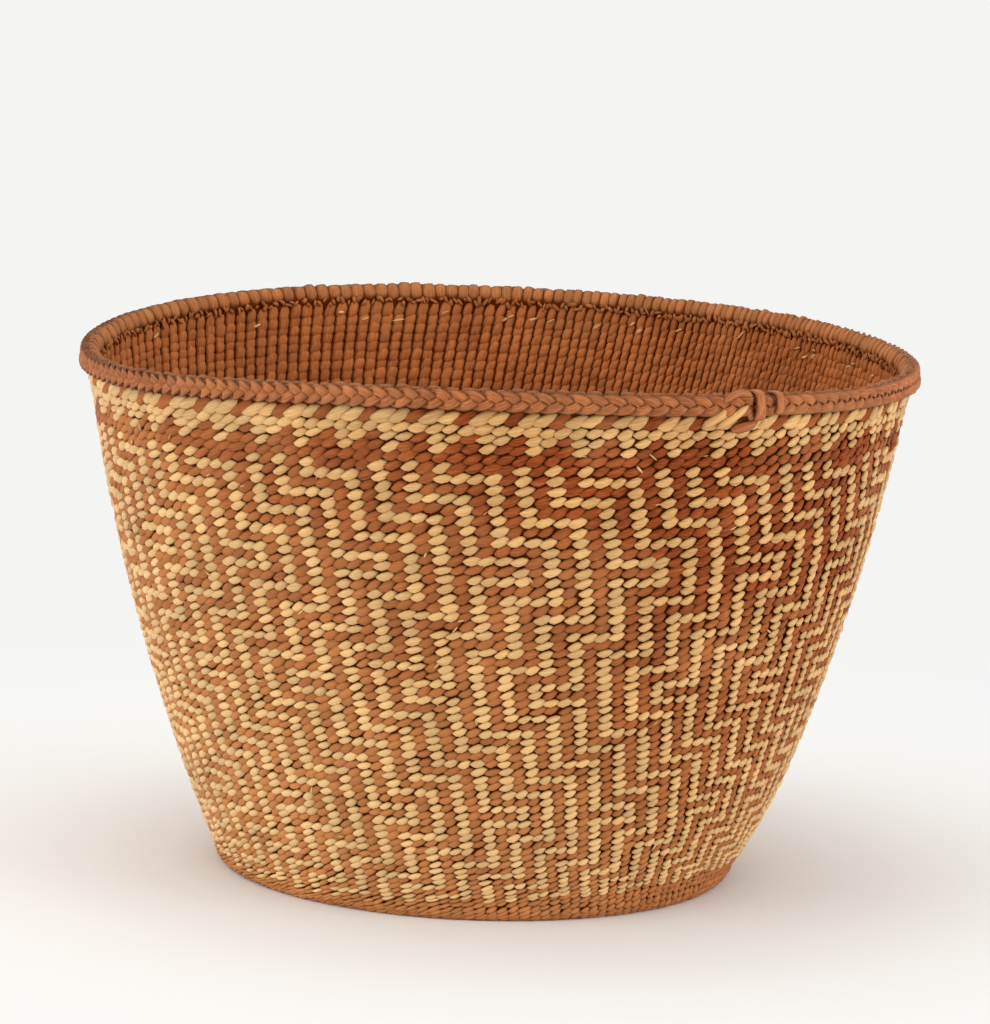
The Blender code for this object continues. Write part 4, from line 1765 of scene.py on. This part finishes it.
    def strap(self, name: str, degrees: float, width: float, drop: float, crown: float) -> None:
        """Lay a strap over the rim, from inside the mouth down the outside.

        Args:
            name: Name of the CAD node that the strap stands for.
            degrees: Angle of the strap.
            width: Width of the strap.
            drop: How far it comes down outside.
            crown: How high it stands over the rim.
        """
        route = (
            (4.9 * MM, -5.5 * MM),
            (4.9 * MM, -3.4 * MM),
            (4.2 * MM, -1.2 * MM),
            (2.6 * MM, 0.1 * MM + crown),
            (0.6 * MM, 0.4 * MM + crown),
            (-1.4 * MM, 0.1 * MM + crown * 0.6),
            (-2.5 * MM, -1.2 * MM),
            (-2.9 * MM, -3.2 * MM),
            (-2.9 * MM, -drop * 0.75),
            (-1.8 * MM, -drop),
        )
        angle = np.array([math.radians(degrees)])
        here, forward, up, out = self.frame(angle, self.weave.form.rim_height)
        points = np.concatenate([here - out * inset + up * below for inset, below in route])
        middle = resampled(points, 22)
        side = np.tile(forward, (len(middle), 1))
        way = unit(np.gradient(middle, axis=0))
        depth = unit(np.cross(way, side))
        turns = TURN * np.arange(12) / 12
        c, s = np.cos(turns), np.sin(turns)
        swell = 1.0 + 0.10 * np.sin(np.linspace(0.0, 7.0, len(middle)))
        flat = squared_off(c, 0.7) * width / 2.0
        rings = swept(middle, side, depth, np.outer(swell, flat), s * self.strap_thickness / 2.0)
        mesh = closed_strip(name + "_strip", rings, np.full(len(middle), 0.7), (c + 1.0) / 2.0)
        add_piece(name + "_strip", mesh, self.finishes.braid, (name,))

    def band(self, band: Band, finish: Finish, slot: Slot) -> None:
        """Lay a short strip on the outside of the rim.

        Args:
            band: Its route and size.
            finish: Its finish.
            slot: Not used.
        """
        points, outs = [], []
        for degrees, height, away in band.stops:
            here, _, _, out = self.frame(np.array([math.radians(degrees)]), height * MM)
            points.append(here[0] + out[0] * away * MM)
            outs.append(out[0])
        middle = resampled(np.array(points), 16)
        face = unit(np.mean(outs, axis=0))
        way = unit(np.gradient(middle, axis=0))
        side = unit(np.cross(face, way))
        depth = unit(np.cross(way, side))
        turns = TURN * np.arange(10) / 10
        c, s = np.cos(turns), np.sin(turns)
        share = np.linspace(-1.0, 1.0, len(middle))
        wide = band.width * MM * np.clip(1.05 - np.abs(share) ** 5.0, 0.25, 1.0)
        flat = squared_off(c, 0.8) / 2.0
        rings = swept(middle, side, depth, np.outer(wide, flat), s * band.thickness * MM / 2.0)
        mesh = closed_strip(band.name, rings, np.full(len(middle), 0.6), (c + 1.0) / 2.0, True)
        add_piece(band.name, mesh, finish, (band.node,))

    def build(self) -> None:
        """Make every piece of the rim."""
        for number in range(3):
            mesh = self.strand(number)
            node = f"braid_strand_{number + 1}"
            add_piece(f"braid_{number + 1}", mesh, self.finishes.braid, (node,))
        add_piece("rim_roll", self.core(), self.finishes.shaded_backing, ("rim_core",))
        ends = (
            Leaf("end_a", 4.0, 0.42, 0.45, rings=6),
            Leaf("end_b", 3.2, 0.48, 0.55, rings=6, crease=0.05),
            Leaf("end_c", 5.0, 0.36, 0.40, rings=6),
        )
        layer = StitchLayer(self.nodes, "end_shapes", ends, math.radians(5.0), 0.10)
        layer.lay("rim_ribs", self.ribs(), self.finishes.end, Slot.BRAID, 80, ("rim_core",))
        tips = (
            Leaf("tip_a", 2.6, 0.5, 1.3, rings=5, around=6),
            Leaf("tip_b", 3.4, 0.4, 0.5, rings=5, around=6),
        )
        layer = StitchLayer(self.nodes, "tip_shapes", tips, math.radians(20.0), 0.2)
        layer.lay("trimmed_tips", self.tips(), self.finishes.cut, Slot.CUT, 81, ("trimmed_ends",))
        self.strap("splice_strap", 302.0, 4.3 * MM, 8.2 * MM, 0.3 * MM)
        self.strap("splice_wrap", 304.7, 3.6 * MM, 6.2 * MM, -0.2 * MM)
        for band in PALE_BANDS:
            self.band(band, self.finishes.straw, Slot.STRAW)
        for band in BROWN_BANDS:
            self.band(band, self.finishes.braid, Slot.BRAID)


def resampled(points: np.ndarray, count: int) -> np.ndarray:
    """Return a smooth line through points.

    Args:
        points: Points of the line.
        count: Number of points to return.

    Returns:
        The new points, evenly spaced along a spline through the old ones.
    """
    n = len(points)
    where = np.linspace(0.0, n - 1.0, count * 6)
    first = np.clip(np.floor(where).astype(int), 0, n - 2)
    t = (where - first)[:, None]
    before = points[np.maximum(first - 1, 0)]
    a, b = points[first], points[first + 1]
    after = points[np.minimum(first + 2, n - 1)]
    line = 0.5 * (
        2.0 * a
        + (b - before) * t
        + (2.0 * before - 5.0 * a + 4.0 * b - after) * t**2
        + (3.0 * a - before - 3.0 * b + after) * t**3
    )
    steps = np.linalg.norm(np.diff(line, axis=0), axis=1)
    along = np.concatenate([[0.0], np.cumsum(steps)])
    even = np.linspace(0.0, along[-1], count)
    return np.stack([np.interp(even, along, line[:, i]) for i in range(3)], axis=-1)


# The studio


@dataclass(frozen=True)
class Studio:
    """Floor, backdrop, soft lights and the camera of the photograph."""

    lens: float = 198.1
    camera_from: tuple[float, float, float] = (0.00266, -1.96, 0.43064)
    camera_to: tuple[float, float, float] = (0.00266, 0.0, 0.12528)
    roll: float = math.radians(1.7)
    floor_colour: tuple[float, float, float] = (0.86, 0.86, 0.845)
    backdrop_colour: tuple[float, float, float] = (0.905, 0.912, 0.895)
    daylight: tuple[float, float, float] = (1.0, 0.99, 0.97)
    ambient: float = 0.92
    clear_from: float = 0.08
    clear_to: float = 0.50
    floor_near: float = -3.0
    floor_far: float = 2.2
    bend: float = 1.2
    backdrop_top: float = 4.0
    half_width: float = 4.0

    def floor(self) -> None:
        """Make the floor, which rises to a backdrop far behind."""
        verts, faces = [], []
        far, bend, half = self.floor_far, self.bend, self.half_width
        curve = [(self.floor_near, 0.0), (far, 0.0)]
        for turn in np.linspace(0.2, math.pi / 2, 10):
            curve.append((far + bend * math.sin(turn), bend - bend * math.cos(turn)))
        curve.append((far + bend, self.backdrop_top))
        for y, z in curve:
            verts += [(-half, y, z), (half, y, z)]
        for k in range(len(curve) - 1):
            faces.append((2 * k, 2 * k + 1, 2 * k + 3, 2 * k + 2))
        mesh = bpy.data.meshes.new("floor")
        mesh.from_pydata(verts, [], faces)
        mesh.shade_smooth()
        mesh.materials.append(self.paper())
        floor = bpy.data.objects.new("floor", mesh)
        bpy.context.scene.collection.objects.link(floor)

    def paper(self) -> bpy.types.Material:
        """Make the floor's finish, which the camera sees in an even colour away from the basket.

        Returns:
            The material.
        """
        material = bpy.data.materials.new("studio_paper")
        material.use_nodes = True
        tree = material.node_tree
        shader = tree.nodes["Principled BSDF"]
        shader.inputs["Base Color"].default_value = (*self.floor_colour, 1.0)
        shader.inputs["Roughness"].default_value = 0.9
        shader.inputs["Specular IOR Level"].default_value = 0.0
        place = add_node(tree, "ShaderNodeTexCoord")
        reach = add_node(tree, "ShaderNodeVectorMath", {0: place.outputs["Object"]}, operation="LENGTH")
        clear = (self.clear_from, self.clear_to)
        share = ranged(tree, reach.outputs["Value"], clear, (0.0, 1.0), "SMOOTHSTEP")
        path = add_node(tree, "ShaderNodeLightPath")
        even = add_node(tree, "ShaderNodeEmission", {"Color": (*self.backdrop_colour, 1.0)})
        mix = add_node(tree, "ShaderNodeMixShader", {
            "Fac": combined(tree, "MULTIPLY", share, path.outputs["Is Camera Ray"]),
            1: shader.outputs["BSDF"],
            2: even.outputs["Emission"],
        })
        tree.links.new(mix.outputs["Shader"], tree.nodes["Material Output"].inputs["Surface"])
        return material

    def light(self, name: str, power: float, size: float, place: tuple[float, float, float]) -> None:
        """Add a soft light that faces the basket.

        Args:
            name: Name of the light.
            power: Power, in watts.
            size: Side of its square, in metres.
            place: Where it hangs.
        """
        data = bpy.data.lights.new(name, "AREA")
        data.energy = power
        data.size = size
        lamp = bpy.data.objects.new(name, data)
        lamp.location = place
        lamp.rotation_mode = "QUATERNION"
        aim = Vector((0.0, 0.0, 0.1)) - Vector(place)
        lamp.rotation_quaternion = aim.to_track_quat("-Z", "Y")
        bpy.context.scene.collection.objects.link(lamp)

    def world(self) -> None:
        """Set the surrounding light, which the camera sees as a pale backdrop."""
        world = bpy.data.worlds.new("studio")
        bpy.context.scene.world = world
        world.use_nodes = True
        tree = world.node_tree
        tree.nodes.clear()
        seen = add_node(tree, "ShaderNodeBackground", {"Color": (*self.backdrop_colour, 1.0)})
        glow = {"Color": (*self.daylight, 1.0), "Strength": self.ambient}
        lit = add_node(tree, "ShaderNodeBackground", glow)
        path = add_node(tree, "ShaderNodeLightPath")
        mix = add_node(tree, "ShaderNodeMixShader", {
            "Fac": path.outputs["Is Camera Ray"],
            1: lit.outputs["Background"],
            2: seen.outputs["Background"],
        })
        add_node(tree, "ShaderNodeOutputWorld", {"Surface": mix.outputs["Shader"]})

    def camera(self) -> None:
        """Set the camera to the photographed view."""
        data = bpy.data.cameras.new("camera")
        data.lens = self.lens
        data.sensor_width = 36.0
        data.clip_start = 0.05
        data.clip_end = 30.0
        camera = bpy.data.objects.new("camera", data)
        bpy.context.scene.collection.objects.link(camera)
        bpy.context.scene.camera = camera
        eye, target = Vector(self.camera_from), Vector(self.camera_to)
        ahead = (target - eye).normalized()
        right = ahead.cross(Vector((0.0, 0.0, 1.0))).normalized()
        up = right.cross(ahead)
        c, s = math.cos(self.roll), math.sin(self.roll)
        across, upward = right * c + up * s, up * c - right * s
        turn = Matrix((across, upward, -ahead)).transposed()
        camera.matrix_world = Matrix.Translation(eye) @ turn.to_4x4()

    def build(self) -> None:
        """Set up the whole studio."""
        bpy.context.scene.view_settings.view_transform = "Standard"
        self.floor()
        self.world()
        self.light("key", 19.0, 1.8, (-2.1, -1.1, 0.9))
        self.light("fill", 19.0, 1.4, (2.2, -0.9, 0.7))
        self.light("top", 8.0, 1.4, (-0.3, 0.3, 2.2))
        self.camera()


def main() -> None:
    """Build the basket over its frame, sub-assembly by sub-assembly."""
    logging.basicConfig(level=logging.INFO, format="%(name)s: %(message)s")
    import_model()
    weave = Weave(WallForm())
    nodes = StitchTree()
    finishes = Finishes()
    WovenWall(weave, nodes, finishes).build()
    InnerWall(weave, nodes, finishes).build()
    Base(weave, nodes, finishes).build()
    Rim(weave, nodes, finishes).build()
    Studio().build()


if __name__ == "__main__":
    main()
